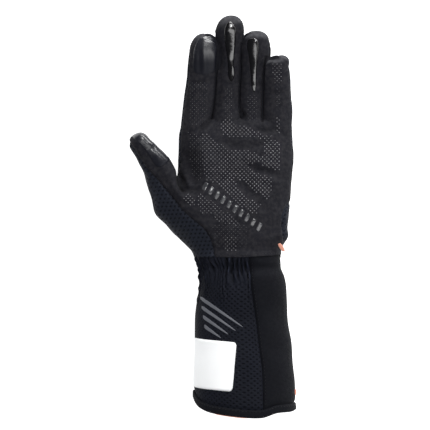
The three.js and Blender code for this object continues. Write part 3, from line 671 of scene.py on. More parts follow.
def finger_tube(name, length, width, root, lean, blunt, rows):
    """A finger, from inside the palm to its domed tip. Its sides lean on its neighbours' sides."""
    start = rows[-1][0]
    touching = {"index": (0, 1), "little": (1, 0)}.get(name, (1, 1))

    def place(u, v):
        if v < FINGER_BODY:
            along = rows[0][0] + (start - rows[0][0]) * v / FINGER_BODY
            shift, share = read_rows(rows, along)
        else:
            t = math.sin((v - FINGER_BODY) / (1 - FINGER_BODY) * math.pi / 2)
            along = start + (1 - start) * t
            shift, share = rows[-1][1] * (1 - t), rows[-1][2] * max(0, 1 - t ** blunt) ** (1 / blunt)
            flat = rows[-1][2] * max(0, 1 - t ** DEPTH_DOME) ** (1 / DEPTH_DOME)
        swell = 1 + ROOT_SWELL * min(max(1 - 4 * along, 0), 1)
        depth_share = share * swell if along < start else flat
        half, deep = shrunk(share, share * width / 2, depth_share * width * FINGER_DEPTH_SHARE / 2)
        x, z = oval(2 * math.pi * u, half, deep, FINGER_SQUARE)
        if along < start:
            x += TOUCH * math.copysign(touching[x > 0], x) * (abs(x) / half) ** 6
        return (root * PALM_WIDTH + lean * along + shift * width + x, PALM_LENGTH + along * length,
                max(finger_height(along * length) + z, SHRINK))

    return bent_grid(48, 56, place, tube=True, closed=True)


def thumb_tube():
    """The thumb with the muscle at its base. Each section stands square to the way the thumb runs."""
    last = THUMB_ROWS[-1]

    def spine(t):
        if t <= 1:
            out = THUMB_ROWS[0][0] + (last[0] - THUMB_ROWS[0][0]) * t
            up, width, depth, lift = read_rows(THUMB_ROWS, out)
            return Vector((-out * THUMB_REACH, up * THUMB_RISE, lift * PALM_DEPTH)), width, depth
        share = max(0, 1 - (t - 1) ** THUMB_DOME) ** (1 / THUMB_DOME)
        out, up = (last[k] + (1 - last[k]) * (t - 1) for k in (0, 1))
        middle = Vector((-out * THUMB_REACH, up * THUMB_RISE, last[4] * PALM_DEPTH))
        return middle, last[2] * share, last[3] * share

    def place(u, v):
        t = v / THUMB_BODY
        if v >= THUMB_BODY:
            t = 1 + math.sin((v - THUMB_BODY) / (1 - THUMB_BODY) * math.pi / 2)
        middle, width, depth = spine(t)
        ahead, behind = (spine(min(max(t + step, 0), 1.999))[0] for step in (0.03, -0.03))
        heading = (ahead - behind).normalized()
        sideways = Vector((heading.y, -heading.x, 0)).normalized()
        x, z = oval(2 * math.pi * u, *shrunk(width, width * THUMB_WIDTH / 2, depth * THUMB_DEPTH / 2))
        z += THUMB_TILT * max(0, x) * min(1, t / 0.45)
        point = middle + sideways * x
        return point.x, point.y, max(point.z + z, SHRINK)

    return bent_grid(56, 60, place, tube=True, closed=True)


def cuff_section(down):
    """Centre x, centre z, half width and half depth of the cuff at a share of its length."""
    flare, shift, arch, _ = read_rows(CUFF_ROWS, max(down, 0))
    width = WRIST_WIDTH + flare * (HEM_WIDTH - WRIST_WIDTH)
    depth = WRIST_DEPTH + flare * (HEM_DEPTH - WRIST_DEPTH)
    return WRIST_SHIFT + shift * HEM_WIDTH, arch * WRIST_LIFT + depth / 2, width / 2, depth / 2


def palm_tube():
    """The palm, from just inside the cuff to just past the crotches, with its cupped hollow."""
    wrist_x, wrist_z, half, deep = cuff_section(0)
    wrist = [(up, (wrist_x - half) / PALM_WIDTH, (wrist_x + half) / PALM_WIDTH,
              (wrist_z - deep) / PALM_DEPTH, (wrist_z + deep) / PALM_DEPTH) for up in (-0.09, 0)]
    rows = wrist + PALM_ROWS

    def place(u, v):
        up = rows[0][0] + (rows[-1][0] - rows[0][0]) * v
        left, right, under, over = read_rows(rows, up)
        x, z = oval(2 * math.pi * u, (right - left) / 2 * PALM_WIDTH - SHRINK,
                    (over - under) / 2 * PALM_DEPTH - SHRINK)
        x += (left + right) / 2 * PALM_WIDTH
        z = max(z + (under + over) / 2 * PALM_DEPTH, SHRINK)
        if z > PALM_DEPTH / 2:
            z -= CUP_DEPTH * math.exp(-((x / PALM_WIDTH - 0.03) / 0.24) ** 2 - ((up - 0.52) / 0.3) ** 2)
        return x, up * PALM_LENGTH, z

    return bent_grid(112, 72, place, tube=True, closed=True)


# %% One skin
def join_and_remesh(parts, voxel):
    """Joins closed meshes and remeshes them as one skin, in millimetres."""
    together = bmesh.new()
    for part in parts:
        pour(part, together)
    mesh = bpy.data.meshes.new("skin")
    together.to_mesh(mesh)
    together.free()
    form = bpy.data.objects.new("skin", mesh)
    bpy.context.scene.collection.objects.link(form)
    remesh = form.modifiers.new("remesh", "REMESH")
    remesh.mode, remesh.voxel_size = "VOXEL", voxel
    bpy.context.view_layer.update()
    bm = bmesh.new()
    bm.from_object(form, bpy.context.evaluated_depsgraph_get())
    bpy.data.objects.remove(form)
    bpy.data.meshes.remove(mesh)
    return bm


VOXEL = 0.95
finger_tubes = [finger_tube(name, *finger) for name, finger in FINGERS.items()]
skin = join_and_remesh([palm_tube(), thumb_tube(), *finger_tubes], VOXEL)
relax(skin, skin.verts, 4)
# The underside steps up where the fingers leave the palm, and is eased there.
KNUCKLE_LINE, KNUCKLE_REACH, KNUCKLE_HEIGHT = PALM_LENGTH - 4, 16, 9
knuckles = [v for v in skin.verts
            if abs(v.co.y - KNUCKLE_LINE) < KNUCKLE_REACH and v.co.z < KNUCKLE_HEIGHT]
relax(skin, knuckles, 40, only_up=True)
print(f"skin of {len(skin.faces)} faces at {VOXEL} mm")

# %% [markdown]
# ### Seams as fields
#
# A seam is where a function changes sign. The side seam is where the height above it is zero, and the
# seam round the thumb's base is where the distance to a line drawn on the palm is zero. Working with
# whole arrays of points, the same functions press a valley along each seam and later cut the skin there.

# %% Fields
def refill(line, count):
    """A line's points, replaced by `count` points along it."""
    return np.array([[np.interp(t, range(len(line)), line[:, k]) for k in (0, 1)]
                     for t in np.linspace(0, len(line) - 1, count)])


def beside(points, line):
    """Distance of each point to a line, seen from above, positive on the left of the way it runs."""
    nearest, side = np.full(len(points), 1e9), np.zeros(len(points))
    for a, b in zip(line[:-1], line[1:]):
        run, reach = b - a, points[:, :2] - a
        t = np.clip(reach @ run / (run @ run), 0, 1)
        gap = np.hypot(*(reach - t[:, None] * run).T)
        closer = gap < nearest
        nearest[closer] = gap[closer]
        side[closer] = np.sign(run[0] * reach[closer, 1] - run[1] * reach[closer, 0])
    return nearest * np.where(side == 0, 1, side)


beyond = np.linspace(0.12, 1.2, 12) * MIDDLE_LENGTH
side_y = np.array([up * PALM_LENGTH for up, _ in SIDE_SEAM] + list(PALM_LENGTH + beyond))
side_z = np.array([h * PALM_DEPTH for _, h in SIDE_SEAM] + [finger_height(b) for b in beyond])
thumb_line = refill(np.array([(-out * THUMB_REACH, up * THUMB_RISE) for out, up in THUMB_SEAM]), 60)
for _ in range(3):
    thumb_line[1:-1] = (thumb_line[:-2] + 2 * thumb_line[1:-1] + thumb_line[2:]) / 4


def above_side_seam(points):
    """Height above the side seam, which rides up a little over both edges of the hand."""
    outer = np.interp(points[:, 0], [-52, -46, -36, -26, 34, 42], [0, 4.5, 4.5, 0, 0, 2.5])
    rise = outer * np.interp(points[:, 1], [50, 75, 150, 175], [0, 1, 1, 0])
    return points[:, 2] - np.interp(points[:, 1], side_y, side_z) - rise


# Where the back comes forward beside the wrist, in pixels of the photograph.
GUSSET_SEAM = [(292, 197), (285, 206), (281.5, 215), (281, 224), (282, 233), (283.5, 243), (285, 262)]
gusset_x, gusset_y = np.array([from_photo(*p) for p in GUSSET_SEAM[::-1]]).T


def beside_gusset(points):
    """Distance to the seam that comes forward at the wrist, positive on the palm."""
    return np.interp(points[:, 1], gusset_y, gusset_x, right=70) - points[:, 0]


def palm_side(points):
    """Positive on the suede of the palm, the finger fronts and the thumb front."""
    return np.minimum.reduce([above_side_seam(points), beside(points, thumb_line), beside_gusset(points)])


STRIP_FROM, STRIP_TO, STRIP_HALF = 0.88, 0.84, 4.6


def between_fingers(left, right):
    """A field that is positive on the strip between two fingers."""
    (l_length, _, l_root, l_lean, *_), (r_length, _, r_root, r_lean, *_) = FINGERS[left], FINGERS[right]

    def field(points):
        x, y = points[:, 0], points[:, 1]
        past = np.maximum(y - PALM_LENGTH, 0)
        from_left = x - (l_root * PALM_WIDTH + l_lean * past / l_length)
        from_right = r_root * PALM_WIDTH + r_lean * past / r_length - x
        bottom = y - STRIP_FROM * PALM_LENGTH
        top = PALM_LENGTH + STRIP_TO * max(l_length, r_length) - y
        height = STRIP_HALF - np.abs(above_side_seam(points))
        return np.minimum.reduce([from_left, from_right, bottom, top, height])

    return field


STRIPS = {f"fourchette_{left}_{right}": between_fingers(left, right)
          for left, right in zip(FINGERS, list(FINGERS)[1:])}
print("side strips:", list(STRIPS))

# %% [markdown]
# ### Folds and creases
#
# Worn gloves fold where the hand bends: across the palm, at each finger joint, in the fork of the thumb.
# Each fold is a line drawn over the photograph, with a depth and a width. The skin sinks along it and
# rises slightly on both sides, as cloth that has to go somewhere does. Little light reaches the bottom of
# a narrow fold, so that darkness is kept on the skin as an attribute, and the suede's colour is darkened
# there as painted shade. Cloth simulation would give folds in other places than the photograph's, so here
# they are pressed in one by one.

# %% Fold lines, in pixels of the photograph, with depth and half width in millimetres
FOLDS = [
    ([(178.5, 176), (180.5, 182), (182.2, 187), (182.8, 193)], 4.8, 2.7),
    ([(184, 189), (190, 191), (198, 190), (206, 185)], 1.1, 2.4),
    ([(184, 150), (188, 160), (192, 174), (193, 186)], 4.4, 7.6),
    ([(175, 186), (180, 194), (187, 199)], -1.4, 2.4),
    ([(217.5, 52), (216.4, 68), (214.8, 93), (211.5, 119)], 1.7, 0.95),
    ([(240.8, 44), (240.5, 68), (239.6, 93), (238.9, 116)], 1.7, 0.95),
    ([(265.5, 57), (263.7, 68), (262.9, 93), (262.2, 126)], 1.7, 0.95),
    ([(207, 37), (212, 38.5), (217, 42)], 0.9, 1.5),
    ([(270, 59), (275, 60), (280, 59.5)], 1.0, 1.5),
    ([(222, 143), (234, 146), (248, 148), (274, 141)], 0.9, 2.8),
    ([(199, 131), (205, 126), (211, 119)], 1.2, 1.7),
    ([(236, 120), (243, 123), (250, 125)], 0.9, 2.0),
    ([(255, 129), (264, 131), (274, 131)], 1.3, 2.2),
    ([(243, 112), (244, 117)], 1.2, 1.7),
    ([(244, 60), (243, 80), (243.5, 100)], 0.35, 1.4),
    ([(222, 62), (221, 85), (219, 106)], 0.35, 1.4),
    ([(260, 62), (259.5, 85), (259.5, 110)], 0.35, 1.4),
    ([(199, 48), (199.5, 60), (200, 74)], 0.4, 1.8),
    ([(207.5, 50), (209, 62), (209, 76)], 0.3, 1.6),
    ([(247, 165), (258, 170), (270, 173), (280, 178)], 1.3, 2.8),
    ([(236, 182), (247, 189), (258, 200), (268, 214)], 0.7, 3.4),
    ([(213, 232), (232, 224), (252, 216)], 0.5, 3.0),
    ([(190, 82), (200, 84), (211, 81)], 0.5, 2.0),
    ([(222, 82), (230, 84), (238, 82)], 0.4, 1.6),
    ([(247, 84), (255, 86), (263, 84)], 0.4, 1.6),
    ([(268, 92), (277, 94), (286, 91)], 0.4, 1.8),
    ([(146, 150), (152, 148), (158, 150)], 0.5, 1.8),
    ([(152, 168), (160, 163), (167, 166)], 0.6, 2.0),
    ([(283, 150), (284, 175), (283, 200)], 0.5, 1.8),
]


def fold_depths(points, upper):
    """How far each point of the skin's upper side moves in or out at the folds, and how much painted shade
    it gets.
    """
    moved, dark = np.zeros(len(points)), np.zeros(len(points))
    for pixels, depth, width in FOLDS:
        count = 4 * len(pixels)
        line = refill(np.array([from_photo(*p) for p in pixels]), count)
        gap = np.abs(beside(points, line))
        nearest = np.argmin(((points[:, None, :2] - line[None]) ** 2).sum(2), axis=1) / (count - 1)
        fade = np.sin(np.pi * np.clip(nearest * 0.9 + 0.05, 0, 1)) ** 0.6
        valley = fade * np.exp(-(gap / width) ** 2)
        moved -= depth * valley
        moved += 0.3 * depth * fade * np.exp(-((gap - 2.1 * width) / width) ** 2)
        dark += min(1, 0.8 * max(0, depth) / width) ** 1.5 * valley
    return moved * upper, np.clip(dark, 0, 1) * upper


def undulation(points, wavelength, seed):
    """A slow random waviness between about -1 and 1."""
    chance = np.random.default_rng(seed)
    total = np.zeros(len(points))
    for _ in range(7):
        heading = chance.normal(size=3)
        heading *= 2 * math.pi / (wavelength * np.linalg.norm(heading) * chance.uniform(0.7, 1.5))
        total += np.sin(points @ heading + chance.uniform(0, 6.28))
    return total / 4


# %% Press the folds and seams in
def mesh_arrays(bm):
    """Points and normals of a mesh as arrays."""
    bm.normal_update()
    return (np.array([v.co for v in bm.verts], float), np.array([v.normal for v in bm.verts], float))


SWELL = SHRINK + 0.45
WAVES = ((0.5, 26, 5), (0.2, 9, 8))
PADS = (((205, 58), 16, 0.9), ((149, 148), 11, 0.7))
THUMB_BASE, BASE_REACH, BASE_SWELL = (-63, 34), 8, 2.6
EDGE_SWELL = 0.45
SEAM_DEPTH, SEAM_WIDTH, STRIP_DEPTH = 0.75, 0.9, 0.4
INDEX_LEAN = 1.6

# Painted shade at the bottom of the folds is kept on the skin as an attribute.
painted_fold_shade = skin.verts.layers.float.new("painted_fold_shade")
points, normals = mesh_arrays(skin)
upper = 1 / (1 + np.exp(-(above_side_seam(points) - 1.5) / 1.2))
pressed, shadow = fold_depths(points, upper)
offset = SWELL + pressed
# The palm's cloth waves more than the fingers' cloth.
calm = np.interp(points[:, 1], [PALM_LENGTH - 10, PALM_LENGTH + 10], [1, 0.35])
offset += calm * sum(size * undulation(points, *wave) for size, *wave in WAVES)
# The pads of index finger and thumb are flat. The cloth is fuller outside the thumb's base and along
# the little-finger side.
for pixel, reach, press in PADS:
    pad = np.hypot(*(points[:, :2] - from_photo(*pixel)).T) / reach
    offset -= press * upper * np.exp(-pad ** 4)
from_base = np.hypot(*(points[:, :2] - THUMB_BASE).T)
offset += BASE_SWELL * np.exp(-(from_base / BASE_REACH) ** 2)
offset += EDGE_SWELL * np.clip((points[:, 0] - 28) / 8, 0, 1) * np.clip((points[:, 1] - 20) / 10, 0, 1)
# Every seam is a valley with a slight rise beside it, and the stitches pucker it.
near_seam = np.abs(palm_side(points))
pucker = 1 + 0.35 * np.sin(points[:, 1] * 1.5 + 2 * np.sin(points[:, 1] * 0.35))
offset -= SEAM_DEPTH * pucker * np.exp(-(near_seam / SEAM_WIDTH) ** 2)
offset += 0.25 * np.exp(-((near_seam - 2.4) / 1.2) ** 2)
for field in STRIPS.values():
    offset -= STRIP_DEPTH * np.exp(-(np.abs(field(points)) / SEAM_WIDTH) ** 2)
points = points + normals * offset[:, None]
# The index finger's outer side leans down towards its tip.
lean_x, lean_y = from_photo(203, 76)
leaning = np.clip((lean_x - points[:, 0]) / 12, 0, 1) * np.clip((points[:, 1] - lean_y) / 8 + 1, 0, 1)
points[:, 2] -= INDEX_LEAN * leaning * upper * (points[:, 1] > PALM_LENGTH)
points[:, 2] = np.maximum(points[:, 2], 0)
for v, co, dark in zip(skin.verts, points, shadow):
    v.co, v[painted_fold_shade] = co, dark
skin.normal_update()
print(f"skin moved by {offset.min():.2f} to {offset.max():.2f} mm")


# %% [markdown]
# ### Cutting the panels
#
# To cut along a field, every edge whose ends lie on either side of it is split where the field is zero,
# and the new corners are joined across each face. The seam is then a clean line of edges, and the faces
# on its two sides become two panels.

# %% Cut and separate
def cut_along(bm, field):
    """Splits a mesh's faces along the zero line of a field of its points."""
    bm.verts.ensure_lookup_table()
    points = np.array([v.co for v in bm.verts], float)
    value = field(points)
    value[np.abs(value) < 0.04] = 0
    bm.verts.index_update()
    on_line = [v for v in bm.verts if value[v.index] == 0]
    crossing = [e for e in bm.edges if value[e.verts[0].index] * value[e.verts[1].index] < 0]
    for edge in crossing:
        first, second = (value[v.index] for v in edge.verts)
        on_line.append(bmesh.utils.edge_split(edge, edge.verts[0], first / (first - second))[1])
    bmesh.ops.connect_verts(bm, verts=on_line)
    bm.verts.index_update()


def panel_from(bm, chosen):
    """A copy of a mesh with only the faces that chosen(centres) picks."""
    panel = bm.copy()
    centres = np.array([f.calc_center_median() for f in panel.faces], float)
    unwanted = [f for f, wanted in zip(panel.faces, chosen(centres)) if not wanted]
    bmesh.ops.delete(panel, geom=unwanted, context="FACES")
    return panel


def wrist_edge(points):
    """Height above the palm's lower edge, which rises a little towards the little-finger side."""
    rise = np.interp(points[:, 0], [-20, 8, 30, 40], [0, 0, 1.4, 2.2]) * (points[:, 2] > 20)
    return points[:, 1] - rise


cut_along(skin, wrist_edge)
below = [f for f in skin.faces if f.calc_center_median().y < -0.5
         or wrist_edge(np.array([f.calc_center_median()]))[0] < 0]
bmesh.ops.delete(skin, geom=below, context="FACES")
cut_along(skin, palm_side)
for field in STRIPS.values():
    cut_along(skin, field)
skin_tree = BVHTree.FromBMesh(skin)


def on_palm(centres, wanted):
    """Which faces are on the palm's side, or not on it, and outside the side strips."""
    in_strip = np.any([field(centres) > 0 for field in STRIPS.values()], axis=0)
    return ((palm_side(centres) > 0) == wanted) & ~in_strip


add_piece(panel_from(skin, lambda c: on_palm(c, True)), "palm_suede", suede, ["palm_panel"],
          wall=CLOTH)
add_piece(panel_from(skin, lambda c: on_palm(c, False)), "back_mesh", mesh_hand,
          ["hand_back"], wall=CLOTH)
for node, field in STRIPS.items():
    add_piece(panel_from(skin, lambda c: field(c) > 0), node.replace("fourchette", "side"), side_suede_painted_shade,
              [node], wall=CLOTH)

# %% [markdown]
# ## The cuff
#
# The cuff is two panels of cloth round a tube that is narrow at the wrist and wide at the mouth. Each
# panel is one grid from seam to seam, so its UV map is the cloth laid flat and the knit follows it.
# Elastic gathers the mesh at the wrist: each gather is a ridge of its own strength and length, and a
# seeded random choice keeps them irregular. How deep a corner lies between the ridges is kept as an
# attribute, from 0 on a crest to 1 in a valley, and from it the knit's finish puts painted shade in the
# valleys and painted highlight on the crests.

# %% Cuff surface
chance = random.Random(11)
GATHERS, GATHER_HEIGHT = 34, 3.2
CUFF_MIDDLE = Vector((6, 0, 24))
gather_size = [chance.uniform(0.45, 1.3) for _ in range(GATHERS + 1)]
gather_end = [chance.uniform(0.7, 1.3) for _ in range(GATHERS + 1)]
seam_rows, hem_rows = smooth_line(CUFF_SEAM, 80), smooth_line(HEM_EDGE, 120)


def seam_x(down):
    """Where the seam between the cuff's panels runs."""
    return WRIST_SHIFT + np.interp(down, seam_rows[:, 0], seam_rows[:, 1]) * HEM_WIDTH


def hem_y(x):
    """Lower edge of the cuff at a place across it."""
    return -CUFF_LENGTH * np.interp((x - WRIST_SHIFT) / HEM_WIDTH, hem_rows[:, 0], hem_rows[:, 1])


def seam_angle(down):
    """Angle of the front seam, from the thumb side over the top."""
    x, _, half, _ = cuff_section(down)
    share = max(-1, min(1, (x - seam_x(down)) / half))
    return math.acos(math.copysign(abs(share) ** (OVAL_SQUARE / 2), share))


def cuff_point(angle, down, grow=0.0, ridge=0.0):
    """A point of the cuff, at an angle from the thumb side (0) over the top, and a share of its length."""
    x, z, half, deep = cuff_section(down)
    swell = 1 + ridge / min(half, deep)
    out, up = oval(angle, (half + grow) * swell, (deep + grow) * swell)
    return Vector((x - out, -down * CUFF_LENGTH, max(z + up, max(0, -grow))))


def from_cuff_middle(centre):
    """The way from the cuff's middle line out to a place."""
    return Vector((centre.x, 0, centre.z)) - CUFF_MIDDLE


def hem_down(angle, rise, down=0.96):
    """The share of the cuff's length at a height above its lower edge, found in a few rounds."""
    for _ in range(4):
        down = -(hem_y(cuff_point(angle, down).x) + rise) / CUFF_LENGTH
    return down


def gather_ridge(share, down):
    """Height of the gathers at a share of the way round the mesh panel."""
    place = share * GATHERS + 0.25 * math.sin(down * 28 + share * 27) + 0.35 * math.sin(share * 47)
    k = int(min(max(place, 0), GATHERS - 1))
    fade = read_rows(CUFF_ROWS, min(max(down / gather_end[k], 0), 0.5))[3]
    wave = 0.5 - 0.5 * math.cos(2 * math.pi * (place - k))
    stroke = 0.6 + 0.4 * math.sin(down * 90 + 2.4 * k)
    return GATHER_HEIGHT * max(fade, 0) * gather_size[k] * stroke * (wave ** 1.2 - 0.7)


# How far a panel is tucked under the hem (mm) and into the palm (a share), and how much its cloth waves.
TUCK, WRIST_TUCK, CLOTH_WAVE = 1.2, -0.02, 0.35


def panel_grid(name, finish, node, columns, rows, angles, ridge, swell, under):
    """One cuff panel. angles(down) gives its first and last angle, ridge(share, down) its gathers, and
    `under` is how much of its edge is tucked below the other panel."""
    def across(at, u):
        first, last = angles(at)
        return first + (last - first) * u

    def place(u, v):
        bottom = 0.95
        for _ in range(4):
            spot = cuff_point(across(bottom * v, u), bottom * v if v > 0.5 else bottom)
            bottom = -(hem_y(spot.x) + HEM_HEIGHT - TUCK) / CUFF_LENGTH
        at = WRIST_TUCK + (bottom - WRIST_TUCK) * v
        first, last = angles(at)
        angle = across(at, u)
        from_seam = min(u, 1 - u) * (last - first) * cuff_section(at)[2] - under
        inner = max(0, from_seam)
        grow = -1.8 * math.exp(-(max(at, WRIST_TUCK) - WRIST_TUCK) / 0.014)
        grow -= 0.9 * math.exp(-(((bottom - at) * CUFF_LENGTH - TUCK) / 1.3) ** 2)
        grow -= 0.9 * math.exp(-(from_seam / 1.1) ** 2)
        grow -= 1.5 * min(1, max(0, -from_seam / under if under else 0))
        calm = min(1, max(0, at) / 0.05) * min(1, (bottom - at) / 0.05)
        grow += (swell + CLOTH_WAVE * wave_at(cuff_point(angle, at))) * min(1, inner / 6) * calm
        return cuff_point(angle, at, grow, ridge(u, at) * min(1, inner / 2))

    def flat(u, v):
        return (across(v * 0.95, u) - math.pi / 2) * 34, -v * CUFF_LENGTH

    # The mark is painted shade, low on a gather's crest and high in its valley.
    bm = bent_grid(columns, rows, place, flat, lambda u, v: 0.5 - ridge(u, 0.97 * v - 0.02) / 2.4)
    turn_outwards(bm, from_cuff_middle)
    tree = BVHTree.FromBMesh(bm)
    add_piece(bm, name, finish, [node], wall=CLOTH)
    return tree


def wave_at(point):
    """Slow waviness of the cuff's cloth."""
    x, y, z = point
    return (math.sin(0.11 * x + 0.17 * y + 1.3) + math.sin(0.21 * y - 0.13 * z + 0.4)
            + 0.6 * math.sin(0.31 * x - 0.07 * y + 2.2)) / 2.2


detail = 2
mesh_tree = panel_grid(
    "cuff_mesh", mesh_cuff, "cuff_mesh_panel", 140 * detail, 60 * detail,
    lambda down: (-seam_angle(down) - 0.05, seam_angle(down) + 0.05), gather_ridge, 0.0, 1.6)
panel_grid(
    "cuff_plain", stretch, "cuff_plain_panel", 50 * detail, 60 * detail,
    lambda down: (seam_angle(down), 2 * math.pi - seam_angle(down)), lambda share, down: 0.0, 0.8, 0.0)

# %% [markdown]
# ### The hem
#
# The hem is the cloth's edge folded in and stitched down. Its section is a thin closed loop: down the
# outside, round the fold, up the inside. That loop runs round the mouth along the hem's curved edge.

# %% Hem
HEM_LOOP = [(0.35, 0.93), (0.7, 0.74), (0.72, 0.24), (0.3, 0.03), (-0.6, 0), (-1.4, 0.05), (-1.75, 0.24),
            (-1.7, 0.72), (-1.3, 0.95), (-0.5, 1)]


def hem_place(u, v):
    """A corner of the hem: u round the mouth, v round the folded edge."""
    turn = v * len(HEM_LOOP)
    k = int(turn) % len(HEM_LOOP)
    t = turn - int(turn)
    a, b, c, d = (HEM_LOOP[(k + j) % len(HEM_LOOP)] for j in (-1, 0, 1, 2))
    grow, rise = (q + 0.5 * t * (r - p + t * (2 * p - 5 * q + 4 * r - s + t * (3 * (q - r) + s - p)))
                  for p, q, r, s in zip(a, b, c, d))
    angle = 2 * math.pi * u
    return cuff_point(angle, hem_down(angle, rise * HEM_HEIGHT), grow)


hem = bent_grid(150 * detail, 20, hem_place, lambda u, v: (u * 220, v * 12), tube=True)
bmesh.ops.recalc_face_normals(hem, faces=hem.faces)
add_piece(hem, "hem_band", stretch, ["cuff_hem"])

# %% [markdown]
# ## Pieces that lie on the cloth
#
# Patches and prints are thin layers glued to the cloth. A wide one, such as the smooth leather on a
# fingertip, has to go round the finger with the cloth. It is cut out of a copy of the skin, along an
# outline drawn over the photograph, and raised a little. Its rim is pressed down into the cloth. A moulded
# one, such as the thumb's, has a fine ridge just inside its rim.

# %% Patches cut from the skin
SUNK_RIM, LAYER = 0.12, 0.5


def ring_field(pixels, cut=0.25):
    """A field that is positive inside an outline in pixels of the photograph. Its corners are cut off
    three times over, each time by a share of the sides."""
    ring = np.array([from_photo(*p) for p in pixels])
    for _ in range(3):
        ahead = np.roll(ring, -1, axis=0)
        ring = np.stack([ring + cut * (ahead - ring), ahead - cut * (ahead - ring)], axis=1).reshape(-1, 2)
    x, y = ring.T
    if np.sum(x * np.roll(y, -1) - y * np.roll(x, -1)) < 0:
        ring = ring[::-1]
    closed = np.vstack([ring, ring[:1]])

    def field(points):
        near = np.all((points[:, :2] > ring.min(0) - 3) & (points[:, :2] < ring.max(0) + 3), axis=1)
        value = np.full(len(points), -9.0)
        value[near] = np.minimum(beside(points[near], closed), above_side_seam(points[near]) + 1)
        return value

    return field


def skin_patch(cloth, pixels, rise, ridge=0.0, ripple=None, cut=0.25):
    """A layer over the cloth inside an outline, as an open mesh. ripple(x, y) is added to its height."""
    field = ring_field(pixels, cut)
    around = panel_from(cloth, lambda p: field(p) > -2)
    cut_along(around, field)
    patch = panel_from(around, lambda p: field(p) > 0)
    around.free()
    points, normals = mesh_arrays(patch)
    inward = field(points)
    height = rise * np.clip(inward / 0.7, 0, 1) ** 0.5 - SUNK_RIM
    height += ridge * np.exp(-((inward - 1) / 0.55) ** 2)
    if ripple:
        height += ripple(points[:, 0], points[:, 1]) * np.clip(inward / 2, 0, 1)
    for v, co in zip(patch.verts, points + normals * height[:, None]):
        v.co = co
    return patch


INDEX_PATCH = [
    (193, 75), (192.6, 62), (193.4, 50), (196.6, 41), (202, 36.5), (209, 35.2), (214.8, 38), (217.2, 46),
    (217, 60), (215, 75),
]
THUMB_PATCH = [
    (133, 138), (138.5, 143.5), (143.5, 148.5), (148.5, 155), (152, 161), (155.5, 166.5), (160, 168),
    (165, 165), (172, 158), (168, 138), (152, 126), (136, 126), (130, 132),
]
# The index patch ripples lengthwise: ripple height, and the place and distance of the ripples across it.
RIPPLE, RIPPLE_X, RIPPLE_STEP = 0.07, -24.4, 7.6
index_patch = skin_patch(skin, INDEX_PATCH, 0.22, 0.0,
                         lambda x, y: RIPPLE * np.cos((x - RIPPLE_X) / RIPPLE_STEP * 2 * np.pi))
add_piece(index_patch, "index_patch", index_leather, ["index_tip_patch"], wall=LAYER)
thumb_patch = skin_patch(skin, THUMB_PATCH, 0.3, 0.15)
add_piece(thumb_patch, "thumb_patch", thumb_leather, ["thumb_tip_patch"], wall=LAYER)

# %% [markdown]
# Narrow layers are simpler as a grid between a left and a right outline. A ray straight down finds the
# cloth under each corner. The two silicone tongues are domed, and their grid is then smoothed, because
# silicone fills the cloth's unevenness and its highlight runs along it in one unbroken streak.

# %% Laying a narrow patch on the cloth
UP, ABOVE = Vector((0, 0, 1)), 90


def outline_at(pixels, share):
    """A point of a smooth outline given in pixels of the photograph."""
    rows = [(k, *from_photo(*p)) for k, p in enumerate(pixels)]
    return read_rows(rows, share * (len(rows) - 1))


def cloth_under(tree, x, y):
    """The cloth's highest point at a place, and its normal."""
    hit, normal, *_ = tree.ray_cast(Vector((x, y, ABOVE)), -UP)
    return (hit, normal) if hit else (Vector((x, y, 0)), UP)


def laid_patch(tree, left, right, rise, columns, rows, sink=0.35, dome=None):
    """A raised patch between two outlines, as a mesh. Its ends are drawn in to a round. dome(v) gives the
    place of its crest across it and how high it is domed for its width."""
    def place(u, v):
        a, b = outline_at(left, v), outline_at(right, v)
        x, y = (a[k] + (b[k] - a[k]) * u for k in (0, 1))
        end = min(v, 1 - v) * 2 * rows / columns
        pull = 1 - math.sqrt(max(0, 1 - (1 - min(1, end)) ** 2))
        x += (a[0] + b[0] - 2 * x) / 2 * pull
        y += (a[1] + b[1] - 2 * y) / 2 * pull
        hit, normal = cloth_under(tree, x, y)
        crown = min(1, 4 * (1 - abs(2 * u - 1) ** 4)) * min(1, 4 * (1 - abs(2 * v - 1) ** 8))
        height = (rise + sink) * crown ** 0.6 - sink
        if dome:
            crest, share = dome(v)
            fall = (crest - u) / crest if u < crest else (u - crest) / max(1 - crest, 1e-6)
            wide = math.hypot(b[0] - a[0], b[1] - a[1])
            height += share * wide * (1 - fall * fall) * min(1, 6 * v, 6 * (1 - v))
        return hit + normal * height

    patch = bent_grid(columns, rows, place, lambda u, v: (u * 10, v * 30), tube=True)
    return turn_outwards(patch, lambda centre: UP)


def add_tongue(name, node, rows, crest):
    """A silicone tongue from rows of the photograph. crest is the places along it, where across it the
    crest lies there, and how high it is domed for its width."""
    left, right = ([(row[k], row[0]) for row in rows] for k in (1, 2))
    places, across, domed = crest
    tongue = laid_patch(skin_tree, left, right, 0.4, 20, 56,
                        dome=lambda v: (np.interp(v, places, across), np.interp(v, places, domed)))
    relax(tongue, [v for v in tongue.verts if not v.is_boundary], 8)
    add_piece(tongue, name, silicone, [node], wall=LAYER)


